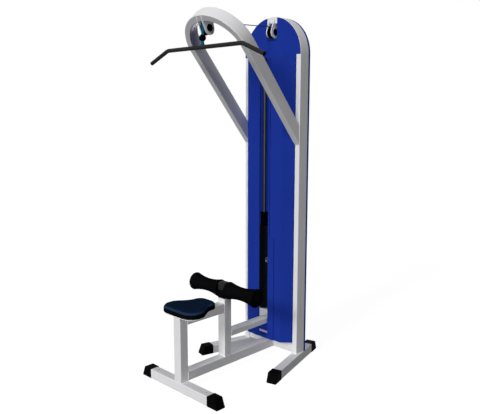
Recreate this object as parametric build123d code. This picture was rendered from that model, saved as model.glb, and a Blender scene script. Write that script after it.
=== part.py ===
from build123d import *
from math import atan2, cos, degrees, radians, sin
import os

# Lat pulldown machine, in millimetres.
# +X is to the machine's left, +Y runs from the seat back to the weight tower, +Z is up.
# The origin is on the floor, under the middle of the foot bar at the machine's front.

# ---- driving dimensions -----------------------------------------------------------------
TUBE = 60                  # square frame tube
TUBE_WALL = 3
TUBE_CORNER = 5            # outer corner radius of the square tube
SEAM = 0.3                 # gap between soft or moving pieces and what is beside them
PLAY = 0.05                # radial clearance of a pin or shaft that turns in its hole
SLIDE_PLAY = 0.75          # radial clearance of a plate or sleeve on its rod

# Front frame
FOOT_BAR_LENGTH = 520
CAP_TOP = 61               # length of an end cap along its top edge
CAP_FOOT = 86              # length of an end cap along the floor
CAP_LIP = 3                # the cap stands this far proud of the tube
CAP_PLUG = 68
CAP_ROUND = 5
CAP_SCREW_RADIUS = 2.5
CAP_SCREW_HEAD = 5.5
CAP_SCREW_HEIGHT = 2.5
CAP_SCREW_REACH = 12       # screw below the tube's wall
THIGH_POST_Y = 360
SEAT_BEAM_TOP = 468
POST_RISE = 29             # roller post above the seat beam
LINK_BEAM_HEIGHT = 40
LINK_BEAM_Z = 240          # underside of the beam from the roller post to the stack beam

# Tower
TOWER_Y = 827              # middle of the tower, front to back
LEG_WIDTH = 40             # hoop tube, across the machine
LEG_DEPTH = 80             # hoop tube, along the machine
LEG_WALL = 3
LEG_CORNER = 4
HOOP_RADIUS = 235          # outside of the half-round top
SPRING_Z = 2001.8          # where the tower's legs turn into the half round
RAIL_SPLAY = 15.8          # degrees, opening towards the front
RAIL_FRONT = 322           # rail tube ahead of the tower's middle
RAIL_REAR = 173
ARM_ANGLE = 49.8           # degrees above the horizontal
ARM_FOOT_DROP = 562.2      # arm's underside at the tower, below where the legs turn
ARM_STRAIGHT = 736         # underside of the arm, up to its half round

# Covers
SHEET = 2
COVER_DEPTH = 64           # cover's front, ahead of the tower
COVER_OVERLAP = 7          # the cover's sides lie this far over the legs
COVER_SIDE_DEPTH = 12      # straight side between the tower and the chamfer
COVER_CHAMFER = 55         # chamfer across the machine
COVER_BOTTOM = 136
COVER_TOP_DROP = 2.8       # below where the legs turn
SLOT_HALF_WIDTH = 38.5
SLOT_FOOT = 16             # cover below the slot
SLOT_HEAD = 18             # and above it
SLOT_ROUND = 25
PANEL_RAISE = 6
PANEL_MARGIN = 10.5        # raised panel beside and above the slot
PANEL_WIDE = 89            # half width of the panel's lower part
PANEL_STEP_Z = 835
PANEL_ROUND = 30
NOTCH_HALF_WIDTH = 42
NOTCH_DROP = 54.5          # notch's sill below the tower pulley's axle
DISC_INSET = 1
BACK_DEPTH = 14

# Weight stack
STACK_WIDTH = 290
STACK_DEPTH = 90
PLATE_PITCH = 46.5
PLATE_COUNT = 11           # plates under the top plate
LIFTED_COUNT = 4
PLATE_EDGE = 2.5           # chamfer that makes the groove between two plates
TOP_PLATE_HEIGHT = 56.5
BUMPER_HEIGHT = 18.5
BUMPER_RADIUS = 26
ROD_X = 95
ROD_RADIUS = 12.5
ROD_HEAD_DROP = 11.8       # bar that holds the rods' tops, below where the legs turn
ROD_BAR_HEIGHT = 10
ROD_BAR_DEPTH = 60
COLLAR_RADIUS = 22
COLLAR_HEIGHT = 14
SLEEVE_RADIUS = 25
SLEEVE_HEIGHT = 88
SELECTOR_RADIUS = 10
SELECTOR_RISE = 36         # selector rod above the top plate
PIN_RADIUS = 4.5
PIN_REACH = 15             # pin past the middle of the selector rod
KNOB_RADIUS = 8
KNOB_LENGTH = 26
KNOB_GAP = 2
KNOB_EDGE = 2
PULL_RING_RADIUS = 16      # ring to pull the pin by, to the middle of its wire
PULL_RING_WIRE = 3

# Belt and pulleys
BELT_WIDTH = 20
BELT_THICK = 3
BELT_GAP = 6               # round the belt, where it passes the rods' top bar
PITCH_RADIUS = 34.5        # from a pulley's axle to the middle of the belt
FLANGE_RISE = 2            # sheave's flange above the belt
FLANGE_THICK = 3.3
BELT_PLAY = 1.2            # belt edge to the sheave's flange
SHEAVE_EDGE = 1.5
SPACER_WALL = 3
HUB_CAP_EDGE = 2
BEARING_RADIUS = 16
BEARING_HALF_WIDTH = 8
AXLE_RADIUS = 6
SHEAVE_GAP = 1.5           # sheave to the bracket plate beside it
BRACKET_PLATE = 7
BRACKET_CORNER = 1
ARM_HUB_DROP = 52.6        # arm pulley's axle below the inside of the arm's half round
ARM_HUB_DEPTH = 12.3       # and behind the arm's underside
TOWER_HUB_DROP = 54.3      # tower pulley's axle below the inside of the tower's half round
TOWER_LOBE_RADIUS = 38
ARM_LOBE_RADIUS = 35
ARM_LOBE_DROP = 5.2        # middle of the arm plate's round end, below its hub
ARM_LOBE_FORWARD = 2.3     # and ahead of it
TAB_RISE = 29              # plate's tab up the outside of the arch
TAB_DEPTH = 3
PLATE_REACH = 78           # plate's seat along the inside of the arch
HUB_CAP_RADIUS = 21.5
HUB_CAP_HEIGHT = 4
HUB_CAP_SKIN = 1.5         # cap over the axle's head
AXLE_HEAD_RADIUS = 10
AXLE_HEAD_HEIGHT = 2
CLEVIS_WIDTH = 34
CLEVIS_DEPTH = 26
CLEVIS_HEIGHT = 60
CLEVIS_BASE = 18           # the rod goes this far into the yoke
CLEVIS_FLOOR = 6
CLEVIS_PIN_TOP = 10        # pin below the yoke's top
CLEVIS_CORNER = 4
LOOP_PIN_RADIUS = 4
LOOP_STRAP = 26            # doubled belt above a loop's pin

# Lat bar
BAR_HANG = 108.5           # bar below the arm pulley's axle
BAR_RADIUS = 12
BAR_HALF_STRAIGHT = 316
BAR_HALF_WIDTH = 475
BAR_DROP = 66
BAR_BEND_RADIUS = 70
BALL_RISE = 39.5           # ball above the hanger pin
BALL_RADIUS = 20
EAR = 4
EAR_RADIUS = 5.5
END_PLUG = 5

# Thigh rollers
SADDLE_HEIGHT = 52         # rollers' axle above the post
SADDLE_CORNER = 3
ROLLER_INNER_X = 32
ROLLER_OUTER_X = 278
ROLLER_INNER_RADIUS = 57
ROLLER_OUTER_RADIUS = 59.5
ROLLER_WAIST_RADIUS = 40.5
ROLLER_EDGE = 8
ROLLER_AXLE_RADIUS = 12.5
CLAMP_HEIGHT = 48          # clamp above the axle's middle
CLAMP_INSET = 2
CLAMP_ROUND = 14
CLAMP_SCREW_RADIUS = 3
CLAMP_SCREW_HEAD = 5
CLAMP_SCREW_HEAD_TALL = 6
CLAMP_SCREW_OFFSET = 17.5
CLAMP_SCREW_REACH = 30     # screw below the axle's middle
CLAMP_SINK = 12            # depth of the screw heads' seats
AXLE_CAP_RADIUS = 18
AXLE_CAP_HEIGHT = 4

# Seat
SEAT_FRONT_Y = -49
SEAT_REAR_Y = 233
SEAT_HALF_WIDTH = 146
SEAT_SHOULDER_Y = 57       # the sides begin to draw in
SEAT_WAIST_Y = 150         # and reach the rear lobe's width
SEAT_LOBE_HALF = 82
SEAT_FRONT_ROUND = 75
SEAT_SHOULDER_ROUND = 50
SEAT_WAIST_ROUND = 80
SEAT_LOBE_ROUND = 55
SEAT_PLATE = 6
SEAT_PLATE_INSET = 7
SEAT_THICK = 40
SEAT_EDGE = 12
SEAT_BOLT_RADIUS = 4
SEAT_BOLT_HEAD = 5
SEAT_BOLT_HEAD_RADIUS = 6.4
SEAT_BOLTS = [(60, -5), (-60, -5), (42, 150), (-42, 150)]

# ---- places worked out from the sizes above ---------------------------------------------
HALF = TUBE / 2
TOWER_FRONT = TOWER_Y - LEG_DEPTH / 2
TOWER_BACK = TOWER_Y + LEG_DEPTH / 2
ARCH_INSIDE = HOOP_RADIUS - LEG_WIDTH
LEG_X = HOOP_RADIUS - LEG_WIDTH / 2
BEAM_FRONT = TOWER_Y - HALF
SHEAVE_RADIUS = PITCH_RADIUS + BELT_THICK / 2 + FLANGE_RISE
SHEAVE_HALF_WIDTH = BELT_WIDTH / 2 + BELT_PLAY + FLANGE_THICK
BRACKET_HALF_GAP = SHEAVE_HALF_WIDTH + SHEAVE_GAP    # middle to a plate's inner face
COVER_FRONT_Y = TOWER_FRONT - COVER_DEPTH
COVER_HALF_WIDTH = ARCH_INSIDE + COVER_OVERLAP
COVER_TOP = SPRING_Z - COVER_TOP_DROP
SLOT_BOTTOM = COVER_BOTTOM + SLOT_FOOT
SLOT_TOP = COVER_TOP - SLOT_HEAD
ROD_HEAD = SPRING_Z - ROD_HEAD_DROP
TOWER_HUB_Z = SPRING_Z + ARCH_INSIDE - TOWER_HUB_DROP
NOTCH_BOTTOM = TOWER_HUB_Z - NOTCH_DROP
THIGH_POST_TOP = SEAT_BEAM_TOP + POST_RISE
ROLLER_Z = THIGH_POST_TOP + SADDLE_HEIGHT
CLAMP_TOP = ROLLER_Z + CLAMP_HEIGHT
STACK_BEAM_TOP = LINK_BEAM_Z + TUBE
STACK_Z = STACK_BEAM_TOP + BUMPER_HEIGHT
TOP_PLATE_Z = STACK_Z + PLATE_COUNT * PLATE_PITCH
STACK_TOP = TOP_PLATE_Z + TOP_PLATE_HEIGHT
STACK_FRONT = TOWER_Y - STACK_DEPTH / 2
PIN_Z = TOP_PLATE_Z - (LIFTED_COUNT - 0.5) * PLATE_PITCH
CLEVIS_Z = STACK_TOP + SELECTOR_RISE - CLEVIS_BASE
REAR_PIN_Z = CLEVIS_Z + CLEVIS_HEIGHT - CLEVIS_PIN_TOP
REAR_STRAP_TOP = REAR_PIN_Z + LOOP_STRAP
LOOP_RADIUS = LOOP_PIN_RADIUS + PLAY + BELT_THICK
SEAT_PAD_Z = SEAT_BEAM_TOP + SEAT_PLATE + SEAM

ARM = radians(ARM_ANGLE)
ARM_FOOT_Z = SPRING_Z - ARM_FOOT_DROP
ARM_HUB_RISE = ARCH_INSIDE - ARM_HUB_DROP
ARM_SPRING = (TOWER_FRONT - ARM_STRAIGHT * cos(ARM), ARM_FOOT_Z + ARM_STRAIGHT * sin(ARM))
ARM_PLACE = Location((0, ARM_SPRING[0], ARM_SPRING[1]), (90 - ARM_ANGLE, 0, 0))
TOWER_PLACE = Location((0, TOWER_FRONT, SPRING_Z))
FRONT_HUB = (
    ARM_SPRING[0] - ARM_HUB_RISE * cos(ARM) + ARM_HUB_DEPTH * sin(ARM),
    ARM_SPRING[1] + ARM_HUB_RISE * sin(ARM) + ARM_HUB_DEPTH * cos(ARM),
)
TOWER_HUB = (TOWER_Y - PITCH_RADIUS, TOWER_HUB_Z)
DROP_Y = FRONT_HUB[0] - PITCH_RADIUS
HUBS = (FRONT_HUB, TOWER_HUB)
BAR_Z = FRONT_HUB[1] - BAR_HANG
FRONT_PIN_Z = BAR_Z + BAR_RADIUS
BALL_Z = FRONT_PIN_Z + BALL_RISE
FRONT_STRAP_TOP = BALL_Z + BALL_RADIUS + BELT_THICK


def tube(start, along, side, length, width=TUBE, height=TUBE):
    """Hollow tube with rounded corners, from a point on its axis."""
    plane = Plane(origin=start, x_dir=side, z_dir=along)
    outside = RectangleRounded(width, height, TUBE_CORNER)
    bore = RectangleRounded(width - 2 * TUBE_WALL, height - 2 * TUBE_WALL, TUBE_CORNER - TUBE_WALL)
    return extrude(plane * (outside - bore), amount=length)


def block(low, high):
    """Box between two opposite corners."""
    size = [b - a for a, b in zip(low, high)]
    return Pos(*low) * Box(*size, align=(Align.MIN, Align.MIN, Align.MIN))


def disc_x(x, y, z, radius, length):
    """Cylinder along X that starts at x."""
    return Location((x, y, z), (0, 90, 0)) * Cylinder(
        radius, length, align=(Align.CENTER, Align.CENTER, Align.MIN))


def rod_z(x, y, low, high, radius):
    """Upright cylinder between two heights."""
    return Pos(x, y, low) * Cylinder(
        radius, high - low, align=(Align.CENTER, Align.CENTER, Align.MIN))


def pair(piece):
    """The piece and its mirror image across the machine, as two solids."""
    return Compound(children=[piece, mirror(piece, about=Plane.YZ)])


def group(pieces):
    return Compound(children=list(pieces))


# ---- base and front frame ---------------------------------------------------------------
def foot_bar():
    bar = tube((-FOOT_BAR_LENGTH / 2, 0, HALF), (1, 0, 0), (0, 1, 0), FOOT_BAR_LENGTH)
    for side in (-1, 1):
        bar -= rod_z(side * cap_screw_x(), 0, TUBE - TUBE_WALL - 1, TUBE + 1, CAP_SCREW_RADIUS)
    return bar


def cap_screw_x():
    """The screw goes into the middle of the cap's plug."""
    return FOOT_BAR_LENGTH / 2 - CAP_PLUG / 2 - TUBE_CORNER


def end_cap():
    """Cap whose end slopes out to the floor; its tube ends at local x = 0."""
    plug_size = TUBE - 2 * TUBE_WALL - 2 * SEAM
    side = Polyline((0, 0), (CAP_FOOT, 0), (CAP_TOP, TUBE + CAP_LIP), (0, TUBE + CAP_LIP), close=True)
    width = TUBE + 2 * CAP_LIP
    shell = extrude(Plane.XZ.offset(-width / 2) * make_face(side), amount=width)
    outer_edges = shell.edges().filter_by(lambda e: e.center().X > 1)
    shell = fillet(outer_edges, CAP_ROUND)
    plug = Pos(-CAP_PLUG, 0, HALF) * Box(
        CAP_PLUG, plug_size, plug_size, align=(Align.MIN, Align.CENTER, Align.CENTER))
    plug = fillet(plug.edges().filter_by(Axis.X), TUBE_CORNER - TUBE_WALL)
    return shell + plug


def foot_bar_caps():
    cap = Pos(FOOT_BAR_LENGTH / 2, 0, 0) * end_cap()
    hole = rod_z(cap_screw_x(), 0, TUBE - TUBE_WALL - CAP_SCREW_REACH, TUBE, CAP_SCREW_RADIUS)
    return pair(cap - hole)


def cap_screws():
    shank = rod_z(cap_screw_x(), 0, TUBE - TUBE_WALL - CAP_SCREW_REACH, TUBE, CAP_SCREW_RADIUS)
    head = rod_z(cap_screw_x(), 0, TUBE, TUBE + CAP_SCREW_HEIGHT, CAP_SCREW_HEAD)
    head = fillet(head.edges().group_by(Axis.Z)[-1], CAP_SCREW_HEIGHT * 0.6)
    return pair(shank + head)


def front_post():
    return tube((0, 0, TUBE), (0, 0, 1), (1, 0, 0), SEAT_BEAM_TOP - TUBE)


def base_beam():
    return tube((0, HALF, TUBE + HALF), (0, 1, 0), (1, 0, 0), BEAM_FRONT - HALF)


def seat_beam():
    length = THIGH_POST_Y - 2 * HALF
    return tube((0, HALF, SEAT_BEAM_TOP - HALF), (0, 1, 0), (1, 0, 0), length)


def thigh_post():
    return tube((0, THIGH_POST_Y, 2 * TUBE), (0, 0, 1), (1, 0, 0), THIGH_POST_TOP - 2 * TUBE)


def link_beam():
    start = (0, THIGH_POST_Y + HALF, LINK_BEAM_Z + LINK_BEAM_HEIGHT / 2)
    length = BEAM_FRONT - THIGH_POST_Y - HALF
    return tube(start, (0, 1, 0), (1, 0, 0), length, height=LINK_BEAM_HEIGHT)


def cross_beam(low):
    start = (-ARCH_INSIDE, TOWER_Y, low + HALF)
    return tube(start, (1, 0, 0), (0, 1, 0), 2 * ARCH_INSIDE)


def rail_place(side, along):
    """Point on a rail's axis, a distance ahead of the tower's middle, and the rail's turn."""
    splay = radians(RAIL_SPLAY)
    turn = -90 + side * RAIL_SPLAY
    return Location((side * (LEG_X + along * sin(splay)), TOWER_Y - along * cos(splay), 0), (0, 0, turn))


def base_rail(side):
    length = RAIL_FRONT + RAIL_REAR
    straight = tube((0, 0, HALF), (1, 0, 0), (0, 1, 0), length)
    return rail_place(side, -RAIL_REAR) * straight


def rail_front_caps():
    return group([rail_place(side, RAIL_FRONT) * end_cap() for side in (-1, 1)])


def rail_rear_caps():
    turned = Rot(0, 0, 180) * end_cap()
    return group([rail_place(side, -RAIL_REAR) * turned for side in (-1, 1)])


# ---- hoops ------------------------------------------------------------------------------
def arch_face(radius, straight):
    """Half round of a radius on straight sides, in the XZ plane, spring line at z = 0."""
    legs = Pos(0, -straight / 2) * Rectangle(2 * radius, straight)
    top = Circle(radius) & Pos(0, radius) * Rectangle(2 * radius, 2 * radius)
    return Plane.XZ * (legs + top)


def arch_band(outer, inner, straight, near, far):
    """The band between two arches, from one depth along Y to another."""
    flat = arch_face(outer, straight) - arch_face(inner, straight)
    return Pos(0, near, 0) * extrude(flat, amount=-(far - near))


def hoop(straight):
    """Rectangular tube bent into a half round on two legs that are open at the bottom."""
    body = arch_band(HOOP_RADIUS, ARCH_INSIDE, straight, 0, LEG_DEPTH)
    long_edges = body.edges().filter_by(lambda e: e.center().Z > -straight + 1 and not (
        abs(e.center().Y - LEG_DEPTH / 2) < 1))
    body = fillet(long_edges, LEG_CORNER)
    hollow = arch_band(
        HOOP_RADIUS - LEG_WALL, ARCH_INSIDE + LEG_WALL, straight, LEG_WALL, LEG_DEPTH - LEG_WALL)
    return body - hollow


def tower_hoop():
    return TOWER_PLACE * hoop(SPRING_Z - TUBE)


def arm_hoop():
    reach = 2 * ARM_STRAIGHT
    behind = block((-reach, TOWER_FRONT, ARM_FOOT_Z - reach),
                   (reach, TOWER_FRONT + reach, ARM_FOOT_Z + reach))
    return ARM_PLACE * hoop(ARM_STRAIGHT) - behind


# ---- covers -----------------------------------------------------------------------------
def cover_plan(inset, back):
    """Chamfered outline of the front cover, seen from above."""
    half = COVER_HALF_WIDTH - inset
    corner = TOWER_FRONT - COVER_SIDE_DEPTH
    front = COVER_FRONT_Y + inset
    slope = (corner - COVER_FRONT_Y) / COVER_CHAMFER
    # the chamfer moves in by the sheet's thickness, square to itself
    shift = inset * ((1 + slope ** 2) ** 0.5 - 1) / slope
    corner_y = corner + inset * ((1 + slope ** 2) ** 0.5 - slope)
    front_x = COVER_HALF_WIDTH - COVER_CHAMFER - shift
    right = [(half, back), (half, corner_y), (front_x, front)]
    left = [(-x, y) for x, y in reversed(right)]
    return make_face(Polyline(*right, *left, close=True))


def slot_cut():
    tall = SLOT_TOP - SLOT_BOTTOM
    face = RectangleRounded(2 * SLOT_HALF_WIDTH, tall, SLOT_ROUND)
    middle = (0, COVER_FRONT_Y + TUBE, SLOT_BOTTOM + tall / 2)
    plane = Plane(origin=middle, x_dir=(1, 0, 0), z_dir=(0, -1, 0))
    return extrude(plane * face, amount=2 * TUBE)


def raised_panel():
    """Shallow raised panel round the slot, wider at its foot."""
    top = SLOT_TOP + PANEL_MARGIN
    narrow = SLOT_HALF_WIDTH + PANEL_MARGIN
    tall = top - COVER_BOTTOM
    upper = Pos(0, COVER_BOTTOM + tall / 2) * RectangleRounded(2 * narrow, tall, PANEL_ROUND)
    low_tall = PANEL_STEP_Z - COVER_BOTTOM + PANEL_ROUND
    lower = Pos(0, PANEL_STEP_Z - low_tall / 2) * RectangleRounded(2 * PANEL_WIDE, low_tall, PANEL_ROUND)
    below = Pos(0, COVER_BOTTOM - TUBE) * Rectangle(4 * PANEL_WIDE, 2 * TUBE)
    plane = Plane(origin=(0, COVER_FRONT_Y, 0), x_dir=(1, 0, 0), z_dir=(0, -1, 0))
    return extrude(plane * (upper + lower - below), amount=PANEL_RAISE)


def front_cover():
    height = COVER_TOP - COVER_BOTTOM
    shell = Pos(0, 0, COVER_BOTTOM) * extrude(cover_plan(0, TOWER_FRONT), amount=height)
    room = Pos(0, 0, COVER_BOTTOM + SHEET) * extrude(
        cover_plan(SHEET, TOWER_FRONT), amount=height - 2 * SHEET)
    disc = Pos(0, TOWER_FRONT - SHEET, SPRING_Z) * extrude(
        arch_face(HOOP_RADIUS - DISC_INSET, SPRING_Z - COVER_TOP + SHEET), amount=-SHEET)
    notch_top = SPRING_Z + HOOP_RADIUS + 1
    notch = block((-NOTCH_HALF_WIDTH, TOWER_FRONT - 2 * SHEET, NOTCH_BOTTOM),
                  (NOTCH_HALF_WIDTH, TOWER_FRONT + SHEET, notch_top))
    # the arm's legs pass through the cover's sides
    arm_room = ARM_PLACE * arch_band(
        HOOP_RADIUS + 1, ARCH_INSIDE - 1, ARM_STRAIGHT + TUBE, -1, LEG_DEPTH + 1)
    return shell - room + disc + raised_panel() - slot_cut() - notch - arm_room


def back_cover():
    straight = SPRING_Z - TUBE
    tray = extrude(arch_face(HOOP_RADIUS, straight), amount=-BACK_DEPTH)
    room = extrude(arch_face(HOOP_RADIUS - SHEET, straight - SHEET), amount=-(BACK_DEPTH - SHEET))
    return Pos(0, TOWER_BACK, SPRING_Z) * (tray - room)


# ---- weight stack -----------------------------------------------------------------------
def guide_rod(side):
    top = ROD_HEAD + ROD_BAR_HEIGHT + COLLAR_HEIGHT
    return rod_z(side * ROD_X, TOWER_Y, LINK_BEAM_Z + TUBE_WALL, top, ROD_RADIUS)


def stack_beam():
    beam = cross_beam(LINK_BEAM_Z)
    for side in (-1, 1):
        beam -= rod_z(side * ROD_X, TOWER_Y, STACK_BEAM_TOP - TUBE_WALL - 1, STACK_BEAM_TOP + 1, ROD_RADIUS)
    return beam


def rod_top_plate():
    half = ROD_BAR_DEPTH / 2
    bar = block((-ARCH_INSIDE, TOWER_Y - half, ROD_HEAD),
                (ARCH_INSIDE, TOWER_Y + half, ROD_HEAD + ROD_BAR_HEIGHT))
    for side in (-1, 1):
        bar -= rod_z(side * ROD_X, TOWER_Y, ROD_HEAD - 1, ROD_HEAD + ROD_BAR_HEIGHT + 1, ROD_RADIUS)
    belt_gap = Pos(0, TOWER_Y, ROD_HEAD + ROD_BAR_HEIGHT / 2) * Box(
        BELT_WIDTH + 2 * BELT_GAP, BELT_THICK + 2 * BELT_GAP, 2 * ROD_BAR_HEIGHT)
    return bar - belt_gap


def rings(low, high, outer, inner):
    """The same ring round both guide rods."""
    ring = rod_z(ROD_X, TOWER_Y, low, high, outer) - rod_z(ROD_X, TOWER_Y, low - 1, high + 1, inner)
    return pair(ring)


def rod_collars():
    low = ROD_HEAD + ROD_BAR_HEIGHT
    return rings(low, low + COLLAR_HEIGHT, COLLAR_RADIUS, ROD_RADIUS)


def stack_bumpers():
    return rings(STACK_BEAM_TOP, STACK_Z, BUMPER_RADIUS, ROD_RADIUS)


def guide_sleeves():
    return rings(STACK_TOP, STACK_TOP + SLEEVE_HEIGHT, SLEEVE_RADIUS, ROD_RADIUS + SLIDE_PLAY)


def weight_plate(low, height, with_pin_hole):
    """Cast plate with chamfered rims, two rod bores, the selector bore and a pin hole."""
    plate = Pos(0, TOWER_Y, low) * Box(
        STACK_WIDTH, STACK_DEPTH, height, align=(Align.CENTER, Align.CENTER, Align.MIN))
    rims = plate.faces().sort_by(Axis.Z)[0].edges() + plate.faces().sort_by(Axis.Z)[-1].edges()
    plate = chamfer(rims, PLATE_EDGE)
    for x in (-ROD_X, ROD_X):
        plate -= rod_z(x, TOWER_Y, low - 1, low + height + 1, ROD_RADIUS + SLIDE_PLAY)
    plate -= rod_z(0, TOWER_Y, low - 1, low + height + 1, SELECTOR_RADIUS + SLIDE_PLAY)
    if with_pin_hole:
        reach = STACK_DEPTH / 2 + PIN_REACH + KNOB_GAP
        plate -= pin_bore(low + height / 2, STACK_FRONT - 1, reach + 1)
    return plate


def pin_bore(z, start, length, radius=PIN_RADIUS + PLAY):
    """Cylinder along +Y."""
    return Location((0, start, z), (-90, 0, 0)) * Cylinder(
        radius, length, align=(Align.CENTER, Align.CENTER, Align.MIN))


def numbered_plates(first, last):
    """Plates counted from the top of the stack."""
    places = [TOP_PLATE_Z - number * PLATE_PITCH for number in range(first, last + 1)]
    return group([weight_plate(low, PLATE_PITCH, True) for low in places])


def top_plate():
    return weight_plate(TOP_PLATE_Z, TOP_PLATE_HEIGHT, False)


def selector_rod():
    rod = rod_z(0, TOWER_Y, STACK_Z + PLATE_EDGE, STACK_TOP + SELECTOR_RISE, SELECTOR_RADIUS)
    for number in range(1, PLATE_COUNT + 1):
        hole_z = TOP_PLATE_Z - (number - 0.5) * PLATE_PITCH
        rod -= pin_bore(hole_z, TOWER_Y - TUBE / 2, TUBE)
    return rod


def selector_pin():
    """Pin through the lowest lifted plate and the rod, with a knob and a ring to pull it by."""
    shank_start = STACK_FRONT - KNOB_GAP
    shank = pin_bore(PIN_Z, shank_start, TOWER_Y + PIN_REACH - shank_start, PIN_RADIUS)
    knob = pin_bore(PIN_Z, shank_start - KNOB_LENGTH, KNOB_LENGTH, KNOB_RADIUS)
    knob = fillet(knob.edges(), KNOB_EDGE)
    ring_y = shank_start - KNOB_LENGTH + PULL_RING_WIRE
    ring = Location((0, ring_y, PIN_Z), (90, 0, 0)) * Torus(PULL_RING_RADIUS, PULL_RING_WIRE)
    spoke = disc_x(-PULL_RING_RADIUS, ring_y, PIN_Z, PULL_RING_WIRE, 2 * PULL_RING_RADIUS)
    return shank + knob + ring + spoke


# ---- belt, pulleys and brackets ---------------------------------------------------------
def side_face(points_and_circles):
    """Outline in the YZ plane, stretched round circles given as (y, z, radius)."""
    edges = []
    for y, z, radius in points_and_circles:
        edges += (Pos(y, z) * Circle(radius)).edges()
    return make_hull(edges)


def extrude_x(face, low, high):
    """Face drawn as (y, z), made solid between two values of x."""
    return extrude(Plane.YZ.offset(low) * face, amount=high - low)


def arch_bracket(lobe, hub, side):
    """One plate of a pulley bracket, in its hoop's own axes, cut to the arch it is welded to."""
    tab = (-TAB_DEPTH, ARCH_INSIDE + TAB_RISE - BRACKET_CORNER, BRACKET_CORNER)
    seat = (PLATE_REACH, ARCH_INSIDE + BRACKET_CORNER, BRACKET_CORNER)
    face = side_face([lobe, tab, seat])
    low = BRACKET_HALF_GAP if side > 0 else -BRACKET_HALF_GAP - BRACKET_PLATE
    plate = extrude_x(face, low, low + BRACKET_PLATE)
    arch = arch_band(HOOP_RADIUS + TUBE, ARCH_INSIDE, TUBE, 0, LEG_DEPTH + TUBE)
    return plate - arch - disc_x(-TUBE, *hub, AXLE_RADIUS, 2 * TUBE)


def arm_pulley_plates():
    hub = (ARM_HUB_DEPTH, ARM_HUB_RISE)
    lobe = (ARM_HUB_DEPTH - ARM_LOBE_FORWARD, ARM_HUB_RISE - ARM_LOBE_DROP, ARM_LOBE_RADIUS)
    return group([ARM_PLACE * arch_bracket(lobe, hub, side) for side in (-1, 1)])


def tower_pulley_plates():
    hub = (TOWER_HUB[0] - TOWER_FRONT, TOWER_HUB_Z - SPRING_Z)
    lobe = (*hub, TOWER_LOBE_RADIUS)
    return group([TOWER_PLACE * arch_bracket(lobe, hub, side) for side in (-1, 1)])


def sheave(hub):
    """Flanged wheel with a flat seat for the belt and a bored centre for its bearing."""
    y, z = hub
    groove_half = BELT_WIDTH / 2 + BELT_PLAY
    seat_radius = PITCH_RADIUS - BELT_THICK / 2 - SEAM
    body = disc_x(-SHEAVE_HALF_WIDTH, y, z, SHEAVE_RADIUS, 2 * SHEAVE_HALF_WIDTH)
    body = fillet(body.edges().filter_by(GeomType.CIRCLE), SHEAVE_EDGE)
    groove = disc_x(-groove_half, y, z, SHEAVE_RADIUS + 1, 2 * groove_half)
    groove -= disc_x(-groove_half, y, z, seat_radius, 2 * groove_half)
    bore = disc_x(-SHEAVE_HALF_WIDTH - 1, y, z, BEARING_RADIUS, 2 * SHEAVE_HALF_WIDTH + 2)
    return body - groove - bore


def bearing(hub):
    y, z = hub
    ring = disc_x(-BEARING_HALF_WIDTH, y, z, BEARING_RADIUS, 2 * BEARING_HALF_WIDTH)
    return ring - disc_x(-BEARING_HALF_WIDTH - 1, y, z, AXLE_RADIUS + PLAY, 2 * BEARING_HALF_WIDTH + 2)


def pulley_axles():
    """Axles through the plates; a low head each side bears on the plate's outer face."""
    face = BRACKET_HALF_GAP + BRACKET_PLATE
    axles = []
    for y, z in HUBS:
        shank = disc_x(-face, y, z, AXLE_RADIUS, 2 * face)
        head = disc_x(face, y, z, AXLE_HEAD_RADIUS, AXLE_HEAD_HEIGHT)
        axles += [shank + head + mirror(head, about=Plane.YZ)]
    return group(axles)


def axle_spacers():
    """Tubes that keep each bearing in the middle between its plates."""
    start = BEARING_HALF_WIDTH + SEAM
    spacers = []
    for y, z in HUBS:
        solid = disc_x(start, y, z, AXLE_RADIUS + SPACER_WALL, BRACKET_HALF_GAP - start)
        solid -= disc_x(start - 1, y, z, AXLE_RADIUS, BRACKET_HALF_GAP - start + 2)
        spacers += [solid, mirror(solid, about=Plane.YZ)]
    return group(spacers)


def pulley_hub_caps():
    face = BRACKET_HALF_GAP + BRACKET_PLATE
    caps = []
    for y, z in HUBS:
        cap = disc_x(face, y, z, HUB_CAP_RADIUS, HUB_CAP_HEIGHT)
        cap = fillet(cap.edges().group_by(Axis.X)[-1], HUB_CAP_EDGE)
        cap -= disc_x(face - 1, y, z, AXLE_HEAD_RADIUS + 1, 1 + HUB_CAP_HEIGHT - HUB_CAP_SKIN)
        caps += [cap, mirror(cap, about=Plane.YZ)]
    return group(caps)


def belt_top_run():
    """Belt over both sheaves, from the front drop's start to the rear drop's start."""
    outside = side_face([(y, z, PITCH_RADIUS + BELT_THICK / 2) for y, z in HUBS])
    inside = side_face([(y, z, PITCH_RADIUS - BELT_THICK / 2) for y, z in HUBS])
    far = 4 * TUBE
    under = make_face(Polyline(
        (FRONT_HUB[0] - far, FRONT_HUB[1]), FRONT_HUB, TOWER_HUB, (TOWER_HUB[0] + far, TOWER_HUB[1]),
        (TOWER_HUB[0] + far, FRONT_HUB[1] - far), (FRONT_HUB[0] - far, FRONT_HUB[1] - far), close=True))
    return extrude_x(outside - inside - under, -BELT_WIDTH / 2, BELT_WIDTH / 2)


def belt_piece(y, low, high, thick=BELT_THICK):
    half = BELT_WIDTH / 2
    return block((-half, y - thick / 2, low), (half, y + thick / 2, high))


def belt_end(y, pin_z, strap_top):
    """Belt folded round a pin and back on itself."""
    outer = disc_x(-BELT_WIDTH / 2, y, pin_z, LOOP_RADIUS, BELT_WIDTH)
    strap = belt_piece(y, pin_z, strap_top, 2 * BELT_THICK)
    hole = disc_x(-BELT_WIDTH, y, pin_z, LOOP_PIN_RADIUS + PLAY, 2 * BELT_WIDTH)
    return outer + strap - hole


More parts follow.
